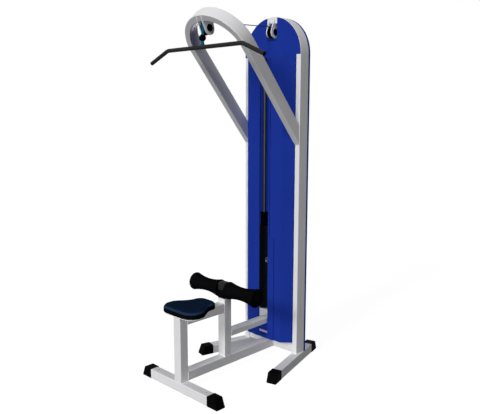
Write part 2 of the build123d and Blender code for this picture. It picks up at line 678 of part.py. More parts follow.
def belt_clevis():
    """Yoke on the selector rod's top; the belt's end loop sits between its ears."""
    half_w = CLEVIS_WIDTH / 2
    half_d = CLEVIS_DEPTH / 2
    body = block((-half_w, TOWER_Y - half_d, CLEVIS_Z),
                 (half_w, TOWER_Y + half_d, CLEVIS_Z + CLEVIS_HEIGHT))
    upright = body.edges().filter_by(Axis.Z)
    body = fillet(upright, CLEVIS_CORNER)
    gap_half = BELT_WIDTH / 2 + SEAM
    gap_low = CLEVIS_Z + CLEVIS_BASE + CLEVIS_FLOOR
    body -= block((-gap_half, TOWER_Y - CLEVIS_DEPTH, gap_low),
                  (gap_half, TOWER_Y + CLEVIS_DEPTH, CLEVIS_Z + 2 * CLEVIS_HEIGHT))
    body -= rod_z(0, TOWER_Y, CLEVIS_Z - 1, CLEVIS_Z + CLEVIS_BASE, SELECTOR_RADIUS)
    return body - disc_x(-CLEVIS_WIDTH, TOWER_Y, REAR_PIN_Z, LOOP_PIN_RADIUS, 2 * CLEVIS_WIDTH)


def clevis_pin():
    return disc_x(-CLEVIS_WIDTH / 2 - 1, TOWER_Y, REAR_PIN_Z, LOOP_PIN_RADIUS, CLEVIS_WIDTH + 2)


def ball_stop():
    ball = Pos(0, DROP_Y, BALL_Z) * Sphere(BALL_RADIUS)
    return ball - belt_piece(DROP_Y, BALL_Z - 2 * BALL_RADIUS, BALL_Z + 2 * BALL_RADIUS, 2 * BELT_THICK)


# ---- lat bar ----------------------------------------------------------------------------
def bar_path():
    """Half of the bar's centre line, from the middle out, with one bend."""
    corner = (BAR_HALF_STRAIGHT, 0)
    end = (BAR_HALF_WIDTH, -BAR_DROP)
    return FilletPolyline((0, 0), corner, end, radius=BAR_BEND_RADIUS)


def lat_bar():
    plane = Plane(origin=(0, DROP_Y, BAR_Z), x_dir=(1, 0, 0), z_dir=(0, -1, 0))
    path = plane * bar_path()
    section = Plane(origin=(0, DROP_Y, BAR_Z), z_dir=(1, 0, 0)) * Circle(BAR_RADIUS)
    half = sweep(section, path=path)
    bar = half + mirror(half, about=Plane.YZ)
    # the belt's loop sits in a groove in the bar's top, with the pin's ends bedded beside it
    groove_half = BELT_WIDTH / 2 + SEAM
    bar -= disc_x(-groove_half, DROP_Y, FRONT_PIN_Z, LOOP_RADIUS + SEAM, 2 * groove_half)
    return bar - hanger_pin()


def bar_bracket():
    """Two low ears on the bar's top, with the hanger pin through them."""
    inner = BELT_WIDTH / 2 + SEAM
    ear_face = side_face([(DROP_Y, FRONT_PIN_Z, EAR_RADIUS), (DROP_Y, BAR_Z, EAR_RADIUS)])
    ear = extrude_x(ear_face, inner, inner + EAR)
    ears = ear + mirror(ear, about=Plane.YZ)
    steel = disc_x(-TUBE, DROP_Y, BAR_Z, BAR_RADIUS, 2 * TUBE)
    hole = disc_x(-TUBE, DROP_Y, FRONT_PIN_Z, LOOP_PIN_RADIUS, 2 * TUBE)
    return ears - steel - hole


def hanger_pin():
    half = BELT_WIDTH / 2 + SEAM + EAR
    return disc_x(-half, DROP_Y, FRONT_PIN_Z, LOOP_PIN_RADIUS, 2 * half)


def bar_end_plugs():
    turn = degrees(atan2(BAR_DROP, BAR_HALF_WIDTH - BAR_HALF_STRAIGHT))
    plug = Location((BAR_HALF_WIDTH, DROP_Y, BAR_Z - BAR_DROP), (0, 90 + turn, 0)) * Cylinder(
        BAR_RADIUS, END_PLUG, align=(Align.CENTER, Align.CENTER, Align.MIN))
    plug = fillet(plug.edges().sort_by(Axis.X)[-1], END_PLUG - 1)
    return pair(plug)


# ---- thigh rollers ----------------------------------------------------------------------
def thigh_roller(side):
    """Foam roller with a waist, turning on its axle."""
    middle = (ROLLER_INNER_X + ROLLER_OUTER_X) / 2
    profile = [
        Line((ROLLER_INNER_X, 0), (ROLLER_INNER_X, ROLLER_INNER_RADIUS)),
        ThreePointArc((ROLLER_INNER_X, ROLLER_INNER_RADIUS), (middle, ROLLER_WAIST_RADIUS),
                      (ROLLER_OUTER_X, ROLLER_OUTER_RADIUS)),
        Line((ROLLER_OUTER_X, ROLLER_OUTER_RADIUS), (ROLLER_OUTER_X, 0)),
        Line((ROLLER_OUTER_X, 0), (ROLLER_INNER_X, 0)),
    ]
    foam = revolve(Plane.XZ * make_face(profile), axis=Axis.X)
    rims = foam.edges().filter_by(GeomType.CIRCLE).filter_by(lambda e: e.radius > ROLLER_WAIST_RADIUS)
    foam = fillet(rims, ROLLER_EDGE)
    foam -= disc_x(0, 0, 0, ROLLER_AXLE_RADIUS + PLAY, 2 * ROLLER_OUTER_X)
    if side < 0:
        foam = mirror(foam, about=Plane.YZ)
    return Pos(0, THIGH_POST_Y, ROLLER_Z) * foam


def roller_axle():
    half = ROLLER_OUTER_X + SEAM
    return disc_x(-half, THIGH_POST_Y, ROLLER_Z, ROLLER_AXLE_RADIUS, 2 * half)


def axle_end_caps():
    """Domed caps that keep the rollers on their axle."""
    start = ROLLER_OUTER_X + SEAM
    cap = disc_x(start, THIGH_POST_Y, ROLLER_Z, AXLE_CAP_RADIUS, AXLE_CAP_HEIGHT)
    cap = fillet(cap.edges().group_by(Axis.X)[-1], AXLE_CAP_HEIGHT * 0.6)
    return pair(cap)


def clamp_holes(low, high, radius=CLAMP_SCREW_RADIUS):
    return [rod_z(0, THIGH_POST_Y + way * CLAMP_SCREW_OFFSET, low, high, radius) for way in (-1, 1)]


def axle_groove():
    return disc_x(-TUBE, THIGH_POST_Y, ROLLER_Z, ROLLER_AXLE_RADIUS, 2 * TUBE)


def axle_saddle():
    saddle = block((-HALF, THIGH_POST_Y - HALF, THIGH_POST_TOP), (HALF, THIGH_POST_Y + HALF, ROLLER_Z))
    saddle = fillet(saddle.edges().filter_by(Axis.Z), SADDLE_CORNER)
    for hole in clamp_holes(ROLLER_Z - CLAMP_SCREW_REACH, ROLLER_Z + 1):
        saddle -= hole
    return saddle - axle_groove()


def axle_clamp():
    half = HALF - CLAMP_INSET
    clamp = block((-half, THIGH_POST_Y - half, ROLLER_Z), (half, THIGH_POST_Y + half, CLAMP_TOP))
    clamp = fillet(clamp.edges().filter_by(Axis.X).group_by(Axis.Z)[-1], CLAMP_ROUND)
    for hole in clamp_holes(ROLLER_Z - 1, CLAMP_TOP + 1):
        clamp -= hole
    for seat in clamp_holes(CLAMP_TOP - CLAMP_SINK, CLAMP_TOP + 1, CLAMP_SCREW_HEAD + SEAM):
        clamp -= seat
    return clamp - axle_groove()


def clamp_screws():
    seat_z = CLAMP_TOP - CLAMP_SINK
    shanks = clamp_holes(ROLLER_Z - CLAMP_SCREW_REACH, seat_z)
    heads = clamp_holes(seat_z, seat_z + CLAMP_SCREW_HEAD_TALL, CLAMP_SCREW_HEAD)
    return group([shank + head for shank, head in zip(shanks, heads)])


# ---- seat -------------------------------------------------------------------------------
def seat_outline(inset):
    """Wide at the front, drawn in to a narrow round lobe at the rear."""
    corners = [
        (SEAT_HALF_WIDTH, SEAT_FRONT_Y), (SEAT_HALF_WIDTH, SEAT_SHOULDER_Y),
        (SEAT_LOBE_HALF, SEAT_WAIST_Y), (SEAT_LOBE_HALF, SEAT_REAR_Y)]
    rounds = [SEAT_FRONT_ROUND, SEAT_SHOULDER_ROUND, SEAT_WAIST_ROUND, SEAT_LOBE_ROUND]
    mirrored = [(-x, y) for x, y in reversed(corners)]
    whole = make_face(FilletPolyline(*corners, *mirrored, radius=rounds + rounds[::-1], close=True))
    return offset(whole, amount=-inset) if inset else whole


def bolt_shanks(low, high, radius):
    return [rod_z(x, y, low, high, radius) for x, y in SEAT_BOLTS]


def seat_plate():
    plate = Pos(0, 0, SEAT_BEAM_TOP) * extrude(seat_outline(SEAT_PLATE_INSET), amount=SEAT_PLATE)
    for hole in bolt_shanks(SEAT_BEAM_TOP - 1, SEAT_PAD_Z, SEAT_BOLT_RADIUS):
        plate -= hole
    return plate


def seat_pad():
    pad = Pos(0, 0, SEAT_PAD_Z) * extrude(seat_outline(0), amount=SEAT_THICK)
    pad = fillet(pad.faces().sort_by(Axis.Z)[-1].edges(), SEAT_EDGE)
    for hole in bolt_shanks(SEAT_PAD_Z - 1, SEAT_PAD_Z + SEAT_THICK / 2, SEAT_BOLT_RADIUS):
        pad -= hole
    return pad


def seat_bolts():
    shanks = bolt_shanks(SEAT_BEAM_TOP, SEAT_PAD_Z + SEAT_THICK / 2, SEAT_BOLT_RADIUS)
    heads = bolt_shanks(SEAT_BEAM_TOP - SEAT_BOLT_HEAD, SEAT_BEAM_TOP, SEAT_BOLT_HEAD_RADIUS)
    return group([shank + head for shank, head in zip(shanks, heads)])


# ---- every piece, by name ---------------------------------------------------------------
PIECES = {
    "foot_bar": foot_bar(),
    "foot_bar_caps": foot_bar_caps(),
    "cap_screws": cap_screws(),
    "front_post": front_post(),
    "base_beam": base_beam(),
    "seat_beam": seat_beam(),
    "thigh_post": thigh_post(),
    "link_beam": link_beam(),
    "base_rail_left": base_rail(1),
    "base_rail_right": base_rail(-1),
    "rail_front_caps": rail_front_caps(),
    "rail_rear_caps": rail_rear_caps(),
    "rear_cross_beam": cross_beam(TUBE),
    "stack_beam": stack_beam(),
    "tower_hoop": tower_hoop(),
    "arm_hoop": arm_hoop(),
    "rod_top_plate": rod_top_plate(),
    "front_cover": front_cover(),
    "back_cover": back_cover(),
    "guide_rod_left": guide_rod(1),
    "guide_rod_right": guide_rod(-1),
    "rod_collars": rod_collars(),
    "stack_bumpers": stack_bumpers(),
    "resting_plates": numbered_plates(LIFTED_COUNT + 1, PLATE_COUNT),
    "arm_pulley_plates": arm_pulley_plates(),
    "tower_pulley_plates": tower_pulley_plates(),
    "pulley_axles": pulley_axles(),
    "axle_spacers": axle_spacers(),
    "pulley_hub_caps": pulley_hub_caps(),
    "belt_top_run": belt_top_run(),
    "belt_front_drop": belt_piece(DROP_Y, FRONT_STRAP_TOP, FRONT_HUB[1]),
    "belt_rear_drop": belt_piece(TOWER_Y, REAR_STRAP_TOP, TOWER_HUB_Z),
    "seat_plate": seat_plate(),
    "seat_pad": seat_pad(),
    "seat_bolts": seat_bolts(),
    "axle_saddle": axle_saddle(),
    "axle_clamp": axle_clamp(),
    "clamp_screws": clamp_screws(),
    "roller_axle": roller_axle(),
    "axle_end_caps": axle_end_caps(),
    "front_sheave": sheave(FRONT_HUB),
    "front_bearing": bearing(FRONT_HUB),
    "tower_sheave": sheave(TOWER_HUB),
    "tower_bearing": bearing(TOWER_HUB),
    "top_plate": top_plate(),
    "lifted_plates": numbered_plates(1, LIFTED_COUNT),
    "selector_rod": selector_rod(),
    "guide_sleeves": guide_sleeves(),
    "belt_clevis": belt_clevis(),
    "clevis_pin": clevis_pin(),
    "belt_rear_end": belt_end(TOWER_Y, REAR_PIN_Z, REAR_STRAP_TOP),
    "selector_pin": selector_pin(),
    "ball_stop": ball_stop(),
    "belt_front_end": belt_end(DROP_Y, FRONT_PIN_Z, FRONT_STRAP_TOP),
    "lat_bar": lat_bar(),
    "bar_bracket": bar_bracket(),
    "hanger_pin": hanger_pin(),
    "bar_end_plugs": bar_end_plugs(),
    "thigh_roller_left": thigh_roller(1),
    "thigh_roller_right": thigh_roller(-1),
}

os.makedirs("parts", exist_ok=True)
for name, piece in PIECES.items():
    export_step(piece, f"parts/{name}.step")
print(len(PIECES), "pieces")
print("front hub", [round(v, 2) for v in FRONT_HUB], "tower hub", TOWER_HUB, "drop", round(DROP_Y, 2))
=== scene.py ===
# %% [markdown]
# # A lat pulldown machine
# The construction comes from CAD and stays where it is. This lesson gives every part its finish,
# and remodels the soft and woven ones: the seat pad, the foam rollers and the belt. At the end
# come small details that CAD leaves out: stitches, weld beads and the back cover's screws.

# %% Load the frame
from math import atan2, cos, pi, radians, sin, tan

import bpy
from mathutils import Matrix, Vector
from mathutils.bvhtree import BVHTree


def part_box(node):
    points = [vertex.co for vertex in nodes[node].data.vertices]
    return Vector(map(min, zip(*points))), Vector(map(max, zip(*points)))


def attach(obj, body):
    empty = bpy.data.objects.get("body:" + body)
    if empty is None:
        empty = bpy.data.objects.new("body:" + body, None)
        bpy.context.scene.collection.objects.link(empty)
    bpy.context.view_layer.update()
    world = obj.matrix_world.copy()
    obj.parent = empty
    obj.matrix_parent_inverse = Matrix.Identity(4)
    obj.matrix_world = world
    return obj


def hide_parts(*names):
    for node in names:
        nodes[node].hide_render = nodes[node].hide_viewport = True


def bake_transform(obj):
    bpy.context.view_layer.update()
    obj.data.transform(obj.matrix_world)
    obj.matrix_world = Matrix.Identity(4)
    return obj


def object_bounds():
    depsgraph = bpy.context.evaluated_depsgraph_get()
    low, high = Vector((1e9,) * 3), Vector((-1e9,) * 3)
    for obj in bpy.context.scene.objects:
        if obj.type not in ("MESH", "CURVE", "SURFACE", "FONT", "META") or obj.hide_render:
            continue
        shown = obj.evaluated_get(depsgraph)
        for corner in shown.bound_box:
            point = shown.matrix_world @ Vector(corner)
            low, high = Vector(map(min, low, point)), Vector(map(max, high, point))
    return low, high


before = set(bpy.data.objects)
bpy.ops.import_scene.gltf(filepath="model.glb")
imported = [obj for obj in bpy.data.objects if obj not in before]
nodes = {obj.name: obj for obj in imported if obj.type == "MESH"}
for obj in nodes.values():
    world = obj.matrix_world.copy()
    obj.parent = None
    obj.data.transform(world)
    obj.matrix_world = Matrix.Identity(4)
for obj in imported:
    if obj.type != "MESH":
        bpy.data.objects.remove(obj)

# %% [markdown]
# ## Tools of the lesson
# Blender works in metres, and small sizes are easier to read in millimetres. So the lesson writes
# a small size as a number of millimetres times MM. Sizes and places that CAD knows already are
# read from its boxes, so that a new piece lands exactly where the old one was.

MM = 0.001
cad_low, cad_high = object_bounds()
print("CAD box in metres:", [round(side, 3) for side in cad_high - cad_low])

# %% [markdown]
# ## The camera
# A product picture is taken from a distance with a long lens, so that upright posts stay upright.
# The camera stands in front and to the machine's left, a little above its middle, and looks
# slightly down. A direction is turned into a rotation with to_track_quat.

# %% Place the camera
CAMERA_PLACE = (2.6344, -2.1618, 1.6514)
AZIMUTH = radians(44.74)       # how far the camera has walked round to the machine's left
DOWN = radians(9.06)           # how far it looks down
SENSOR_MM = 36
LENS_MM = 45.18
FAR_LIMIT = 100                # metres, beyond the far edge of the floor

camera = bpy.data.objects.new("camera", bpy.data.cameras.new("camera"))
bpy.context.scene.collection.objects.link(camera)
camera.location = CAMERA_PLACE
look = Vector((-sin(AZIMUTH) * cos(DOWN), cos(AZIMUTH) * cos(DOWN), -sin(DOWN)))
camera.rotation_euler = look.to_track_quat("-Z", "Y").to_euler()
camera.data.sensor_width = SENSOR_MM
camera.data.lens = LENS_MM
camera.data.clip_end = FAR_LIMIT
bpy.context.scene.camera = camera
bpy.context.scene.view_settings.view_transform = "Standard"
distance = (camera.location - (cad_low + cad_high) / 2).length
print("camera to the middle of the machine:", round(distance, 2), "m")

# %% [markdown]
# ## Light
# The machine stands on a white sweep, lit by one large soft lamp in front, some thirty degrees
# up, and a weak one at its left. Faces that look to the front are bright, tops are grey and the
# left side is darkest. A large studio lamp lights into hollows as well, so part of the front
# light comes from a second sun, of the same direction, that casts no shadow. A level lamp behind
# the machine, to its right, keeps the back and the right side readable when one walks round.

# %% Lamps
# the way the light travels
FRONT_LIGHT = (-0.12, 1.0, -0.56)
SIDE_LIGHT = (-1.0, 0.15, -0.25)
BACK_LIGHT = (0.45, -0.9, 0.0)
LAMP_SPREAD = radians(14)      # how wide a lamp looks from the machine, which softens its shadows


def lamp(name, direction, strength, shadow=True):
    """A sun lamp: its light comes evenly from far away and travels along one direction."""
    data = bpy.data.lights.new(name, "SUN")
    data.energy = strength
    data.angle = LAMP_SPREAD
    data.use_shadow = shadow
    lamp_object = bpy.data.objects.new(name, data)
    lamp_object.rotation_euler = Vector(direction).to_track_quat("-Z", "Y").to_euler()
    bpy.context.scene.collection.objects.link(lamp_object)


lamp("front_lamp", FRONT_LIGHT, strength=1.3)
lamp("front_fill", FRONT_LIGHT, strength=1.65, shadow=False)
lamp("side_lamp", SIDE_LIGHT, strength=0.55)
lamp("back_lamp", BACK_LIGHT, strength=2.2)
print("lamps:", len(bpy.data.lights))

# %% [markdown]
# ## A helper for nodes
# A material is a tree of nodes: textures feed colours, colours feed a shader. Making a node takes
# three kinds of line: create it, set its values, link its inputs. One helper does all three, so
# that a material reads as a list of its nodes. A Mix node has sockets for every kind of value,
# so its colours go by number: 6 and 7 in, 2 out. Colours are written as sRGB hex, as in a paint
# list, and Blender calculates in linear light, so a second helper turns one into the other.

# %% Helpers for nodes and colours
def add(tree, kind, settings=None, links=None):
    """Adds one node; settings are its properties or sockets, links are sockets fed by others."""
    node = tree.nodes.new(kind)
    for name, value in (settings or {}).items():
        if isinstance(name, str) and hasattr(node, name):
            setattr(node, name, value)
        else:
            node.inputs[name].default_value = value
    for socket, source in (links or {}).items():
        tree.links.new(source, node.inputs[socket])
    return node


def linear(hex_colour):
    """An sRGB hex colour such as #1B3291, as Blender's linear red, green, blue and alpha."""
    channels = [int(hex_colour[i:i + 2], 16) / 255 for i in (1, 3, 5)]
    return [c / 12.92 if c <= 0.04045 else ((c + 0.055) / 1.055) ** 2.4 for c in channels] + [1]


def new_tree(owner):
    """Empties the node tree of a material or a world, ready for its own nodes."""
    owner.use_nodes = True
    owner.node_tree.nodes.clear()
    return owner.node_tree


WHITE = (1, 1, 1, 1)
print("mid grey #808080 in linear light:", round(linear("#808080")[0], 3))

# %% [markdown]
# ## White surround and floor
# The background is white to the eye, to gloss and to glass, but lights the object only softly.
# Light Path tells the shader which kind of ray asks, so the same world can be both. The floor
# works the same way: it is seen as glowing white paper with a share of shaded paper in it, which
# carries the machine's shadow, and it throws only a dark grey back at the machine.

# %% World
SURROUND_LIGHT = 0.03          # strength of the surround as a lamp


def seen_directly(tree):
    """1 for rays from the camera and for mirror and glass rays, else 0."""
    path = add(tree, "ShaderNodeLightPath")
    first = add(tree, "ShaderNodeMath", {"operation": "MAXIMUM"},
                {0: path.outputs["Is Camera Ray"], 1: path.outputs["Is Transmission Ray"]})
    return add(tree, "ShaderNodeMath", {"operation": "MAXIMUM"},
               {0: first.outputs[0], 1: path.outputs["Is Glossy Ray"]}).outputs[0]


world = bpy.data.worlds.new("studio")
bpy.context.scene.world = world
tree = new_tree(world)
dim = add(tree, "ShaderNodeBackground", {"Color": linear("#EEF1F5"), "Strength": SURROUND_LIGHT})
white = add(tree, "ShaderNodeBackground", {"Color": WHITE, "Strength": 1.0})
mixed = add(tree, "ShaderNodeMixShader",
            links={0: seen_directly(tree), 1: dim.outputs[0], 2: white.outputs[0]})
add(tree, "ShaderNodeOutputWorld", links={0: mixed.outputs[0]})
print("world:", world.name)

# %% Floor
FLOOR_REACH = 30               # metres from the machine to each edge
PAPER_GLOW = 1.29
SHADED_SHARE = 0.3             # of the paper that is seen, the part that takes shadow

floor_material = bpy.data.materials.new("white paper sweep")
tree = new_tree(floor_material)
paper = add(tree, "ShaderNodeBsdfDiffuse", {"Color": linear("#474749")})
shaded = add(tree, "ShaderNodeBsdfDiffuse", {"Color": linear("#E2E2E2")})
glow = add(tree, "ShaderNodeEmission", {"Color": WHITE, "Strength": PAPER_GLOW})
seen = add(tree, "ShaderNodeMixShader", {0: SHADED_SHARE},
           {1: glow.outputs[0], 2: shaded.outputs[0]})
both = add(tree, "ShaderNodeMixShader",
           links={0: seen_directly(tree), 1: paper.outputs[0], 2: seen.outputs[0]})
add(tree, "ShaderNodeOutputMaterial", links={0: both.outputs[0]})

corners = ((-1, -1), (1, -1), (1, 1), (-1, 1))
floor_corners = [(x * FLOOR_REACH, y * FLOOR_REACH, 0) for x, y in corners]
floor_mesh = bpy.data.meshes.new("floor")
floor_mesh.from_pydata(floor_corners, [], [(0, 1, 2, 3)])
floor = bpy.data.objects.new("floor", floor_mesh)
floor_mesh.materials.append(floor_material)
bpy.context.scene.collection.objects.link(floor)
print("floor:", 2 * FLOOR_REACH, "m across")

# %% [markdown]
# ## Finishes
# Most finishes here are a coat with a fine texture: powder coat shows an orange peel, moulded
# plastic a grain, cast iron a sand skin. They differ in colour, roughness and the size of that
# texture, so one function makes them. The texture of a real coat is under a millimetre, which
# the picture can't show, so it is drawn a few times coarser. Gloss is set far below the shader's
# usual 0.5, except on metal: it sees the surround at full white, and more of it would lay a pale
# haze over the dark pieces.

# %% Coats with a fine texture
ROUGHNESS_SWING = 0.06         # how far the grain moves the roughness either way


def coat(name, colour, shade, roughness, grain_mm, depth_mm,
         metallic=0.0, gloss=0.03, patch_mm=180):
    """Colour drifts to shade in large patches; the grain is a bump and a change in roughness."""
    material = bpy.data.materials.new(name)
    tree = new_tree(material)
    place = add(tree, "ShaderNodeTexCoord").outputs["Object"]
    patches = add(tree, "ShaderNodeTexNoise", {"Scale": 1 / (patch_mm * MM), "Detail": 3.0},
                  {"Vector": place})
    tint = add(tree, "ShaderNodeMix", {"data_type": "RGBA", 6: linear(colour), 7: linear(shade)},
               {0: patches.outputs[0]})
    grain = add(tree, "ShaderNodeTexNoise",
                {"Scale": 1 / (grain_mm * MM), "Detail": 4.0, "Roughness": 0.6}, {"Vector": place})
    rough = add(tree, "ShaderNodeMapRange",
                {"To Min": roughness - ROUGHNESS_SWING, "To Max": roughness + ROUGHNESS_SWING},
                {"Value": grain.outputs[0]})
    bump = add(tree, "ShaderNodeBump", {"Strength": 1.0, "Distance": depth_mm * MM},
               {"Height": grain.outputs[0]})
    shader = add(tree, "ShaderNodeBsdfPrincipled",
                 {"Metallic": metallic, "Specular IOR Level": gloss},
                 {"Base Color": tint.outputs[2], "Roughness": rough.outputs[0],
                  "Normal": bump.outputs[0]})
    add(tree, "ShaderNodeOutputMaterial", links={0: shader.outputs[0]})
    return material


# powder coat is baked polyester: even colour, a faint orange peel, soft highlights
white_powder_coat = coat("white powder coat", "#E7E7E8", "#DFDFE1",
                         roughness=0.38, grain_mm=3.0, depth_mm=0.05)
blue_powder_coat = coat("blue powder coat", "#1D3698", "#1A328F",
                        roughness=0.42, grain_mm=3.0, depth_mm=0.05)
black_powder_coat = coat("black powder coat", "#313131", "#2B2B2B",
                         roughness=0.45, grain_mm=2.5, depth_mm=0.06, gloss=0.02)
grey_powder_coat = coat("grey powder coat", "#2C2D2F", "#262729",
                        roughness=0.45, grain_mm=2.5, depth_mm=0.06, gloss=0.02)
# moulded polyethylene comes out of a spark-eroded mould: deep black with a fine dull grain
moulded_black = coat("moulded black plastic", "#0B0B0C", "#070708",
                     roughness=0.5, grain_mm=1.6, depth_mm=0.08, gloss=0.004)
# sand casting leaves a coarse skin under the enamel
cast_enamel = coat("enamelled cast iron", "#101112", "#0B0C0D",
                   roughness=0.5, grain_mm=4.0, depth_mm=0.25, gloss=0.02)
# rubber is as black as the plastic, but duller
black_rubber = coat("black rubber", "#0B0B0C", "#070708",
                    roughness=0.62, grain_mm=1.2, depth_mm=0.06, gloss=0.004)
# zinc plate is a thin grey crystal coat: a dull metal with cloudy patches
zinc_plate = coat("zinc-plated steel", "#A9ABAD", "#8F9194", roughness=0.38, grain_mm=1.5,
                  depth_mm=0.02, metallic=1.0, gloss=0.5, patch_mm=12)
# the guide rods are ground round and greased, so they are greyer and duller than chrome
ground_steel = coat("ground and greased steel", "#77797C", "#5F6164", roughness=0.42,
                    grain_mm=2.0, depth_mm=0.03, metallic=1.0, gloss=0.5)
print("nodes in one coat:", len(white_powder_coat.node_tree.nodes))

# %% [markdown]
# ## Who wears which finish
# The frame's tubes and brackets are white, and the two sheet covers blue. Caps, plugs, pulleys
# and sleeves are moulded plastic, and the weights cast iron. The guide rods and the selector pin
# are ground steel; other pins, the axles and the screws are zinc plated. The CAD pieces keep
# their shape: only the material in their slot is exchanged.

# %% Finish the CAD pieces
FINISHES = {
    white_powder_coat: [
        "foot_bar", "front_post", "base_beam", "seat_beam", "thigh_post", "link_beam",
        "base_rail_left", "base_rail_right", "rear_cross_beam", "stack_beam", "tower_hoop",
        "arm_hoop", "rod_top_plate", "arm_pulley_plates", "tower_pulley_plates", "seat_plate"],
    blue_powder_coat: ["front_cover", "back_cover"],
    black_powder_coat: ["lat_bar", "bar_bracket"],
    grey_powder_coat: ["axle_clamp", "belt_clevis"],
    moulded_black: [
        "foot_bar_caps", "rail_front_caps", "rail_rear_caps", "pulley_hub_caps", "front_sheave",
        "tower_sheave", "axle_saddle", "axle_end_caps", "guide_sleeves", "bar_end_plugs"],
    cast_enamel: ["top_plate", "lifted_plates", "resting_plates"],
    black_rubber: ["ball_stop", "stack_bumpers"],
    zinc_plate: [
        "cap_screws", "pulley_axles", "axle_spacers", "seat_bolts", "clamp_screws", "roller_axle",
        "front_bearing", "tower_bearing", "rod_collars", "clevis_pin", "hanger_pin",
        "selector_rod"],
    ground_steel: ["guide_rod_left", "guide_rod_right", "selector_pin"],
}
for material, names in FINISHES.items():
    for name in names:
        mesh = nodes[name].data
        mesh.materials.clear()
        mesh.materials.append(material)
print("finished CAD nodes:", sum(len(names) for names in FINISHES.values()))

# %% [markdown]
# ## Building meshes from rings
# Most of the new pieces are a row of closed rings with a skin between them: a belt is one
# section carried along a path, and a roller is a row of circles. One helper makes the skin and
# keeps a texture coordinate in metres, across and along, for what is woven.

# %% Skin a row of rings
SHARP_EDGE = radians(35)       # faces that meet at more than this keep a crisp edge


def finish_piece(name, mesh, body):
    """Turns a mesh into a piece that rides on a body, smooth except at its sharp edges."""
    for polygon in mesh.polygons:
        polygon.use_smooth = True
    mesh.set_sharp_from_angle(angle=SHARP_EDGE)
    piece = bpy.data.objects.new(name, mesh)
    bpy.context.scene.collection.objects.link(piece)
    if body:
        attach(piece, body)
    return piece


def place_uv(mesh, rings, along, joints):
    """u runs round the section and v along the path, both in metres."""
    count = len(rings[0])
    round_it = [0.0]
    for j in range(count):
        step = (Vector(rings[0][(j + 1) % count]) - Vector(rings[0][j])).length
        round_it.append(round_it[-1] + step)
    layer = mesh.uv_layers.new(name="weave")
    for i in range(joints):
        for j in range(count):
            corner = (i * count + j) * 4
            u = (round_it[j], round_it[j + 1], round_it[j + 1], round_it[j])
            v = (along[i], along[i], along[i + 1], along[i + 1])
            for n in range(4):
                layer.data[corner + n].uv = (u[n], v[n])


def skin(name, rings, body, material, closed=False, along=None):
    """A mesh from equal rings of points; closed joins the last ring to the first."""
    count = len(rings[0])
    faces = []
    joints = len(rings) if closed else len(rings) - 1
    for i in range(joints):
        a, b = i * count, (i + 1) % len(rings) * count
        for j in range(count):
            k = (j + 1) % count
            faces.append((a + j, a + k, b + k, b + j))
    if not closed:
        faces.append(tuple(reversed(range(count))))
        faces.append(tuple((len(rings) - 1) * count + j for j in range(count)))
    mesh = bpy.data.meshes.new(name)
    mesh.from_pydata([tuple(point) for ring_points in rings for point in ring_points], [], faces)
    if along:
        place_uv(mesh, rings, along, joints)
    mesh.materials.append(material)
    return finish_piece(name, mesh, body)

# %% [markdown]
# ## The belt
# The belt is a flat woven strap. From the bar it rises to the front pulley, runs back over the
# tower pulley and falls to the weights. It is made of five bands: one over both pulleys that
# stays where it is, two drops that grow and shrink as the bar is pulled, and an end folded round
# a pin at the bar and at the stack. Its weave is a twill: ribs along the strap, crossed by a
# finer thread. The real threads are under a millimetre; here a rib is 2 mm so that it shows.

# %% Woven strap finish
RIB_MM = 2.0
PICK_MM = 1.6
WAVE_PERIOD = 2 * pi / 20      # how often a wave texture of scale 1 repeats


def twill(name, colour, shade):
    """Ribs times slanted picks: each crossing is a raised knot, and the darker colour round it is
    painted shade.
    """
    material = bpy.data.materials.new(name)
    tree = new_tree(material)
    place = add(tree, "ShaderNodeUVMap", {"uv_map": "weave"}).outputs["UV"]
    ribs = add(tree, "ShaderNodeTexWave",
               {"bands_direction": "X", "Scale": WAVE_PERIOD / (RIB_MM * MM)}, {"Vector": place})
    picks = add(tree, "ShaderNodeTexWave",
                {"bands_direction": "DIAGONAL", "Scale": WAVE_PERIOD / (PICK_MM * MM)},
                {"Vector": place})
    cloth = add(tree, "ShaderNodeMath", {"operation": "MULTIPLY"},
                {0: ribs.outputs["Fac"], 1: picks.outputs["Fac"]})
    # the hollows between threads get the darker colour: painted shade
    tint = add(tree, "ShaderNodeMix", {"data_type": "RGBA", 6: linear(shade), 7: linear(colour)},
               {0: cloth.outputs[0]})
    bump = add(tree, "ShaderNodeBump", {"Strength": 0.8, "Distance": 0.3 * MM},
               {"Height": cloth.outputs[0]})
    shader = add(tree, "ShaderNodeBsdfPrincipled", {"Roughness": 0.8, "Specular IOR Level": 0.03},
                 {"Base Color": tint.outputs[2], "Normal": bump.outputs[0]})
    add(tree, "ShaderNodeOutputMaterial", links={0: shader.outputs[0]})
    return material


# polyester yarn takes dye well and has no shine once woven: a strong teal, with painted shade
# between the threads
teal_webbing = twill("teal polyester webbing", "#00739E", "#004E6C")
print("ribs of the belt: one every", RIB_MM, "mm across it")

# %% [markdown]
# ## The belt's run
# The belt's straight parts touch both pulleys, so each pulley's centre lies one pitch radius from
# the middle of the strap, level with the top of its drop. A band is a flat section with rounded
# edges, set square to a path at each of its points. That is a strap's own way to bend.

# %% Sizes of the run
front_low, front_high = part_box("belt_front_drop")
rear_low, rear_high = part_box("belt_rear_drop")
BELT_HALF_WIDTH = front_high.x
BELT_THICK = front_high.y - front_low.y
PITCH_RADIUS = 34.5 * MM       # from a pulley's centre to the middle of the strap
front_hub = Vector((0, front_low.y + BELT_THICK / 2 + PITCH_RADIUS, front_high.z))
tower_hub = Vector((0, rear_high.y - BELT_THICK / 2 - PITCH_RADIUS, rear_high.z))
print("pulley centres, y and z:", [round(v, 4) for v in (*front_hub.yz, *tower_hub.yz)])


# %% Bands of belt
EDGE_STEPS = 6                 # facets round each edge of the strap


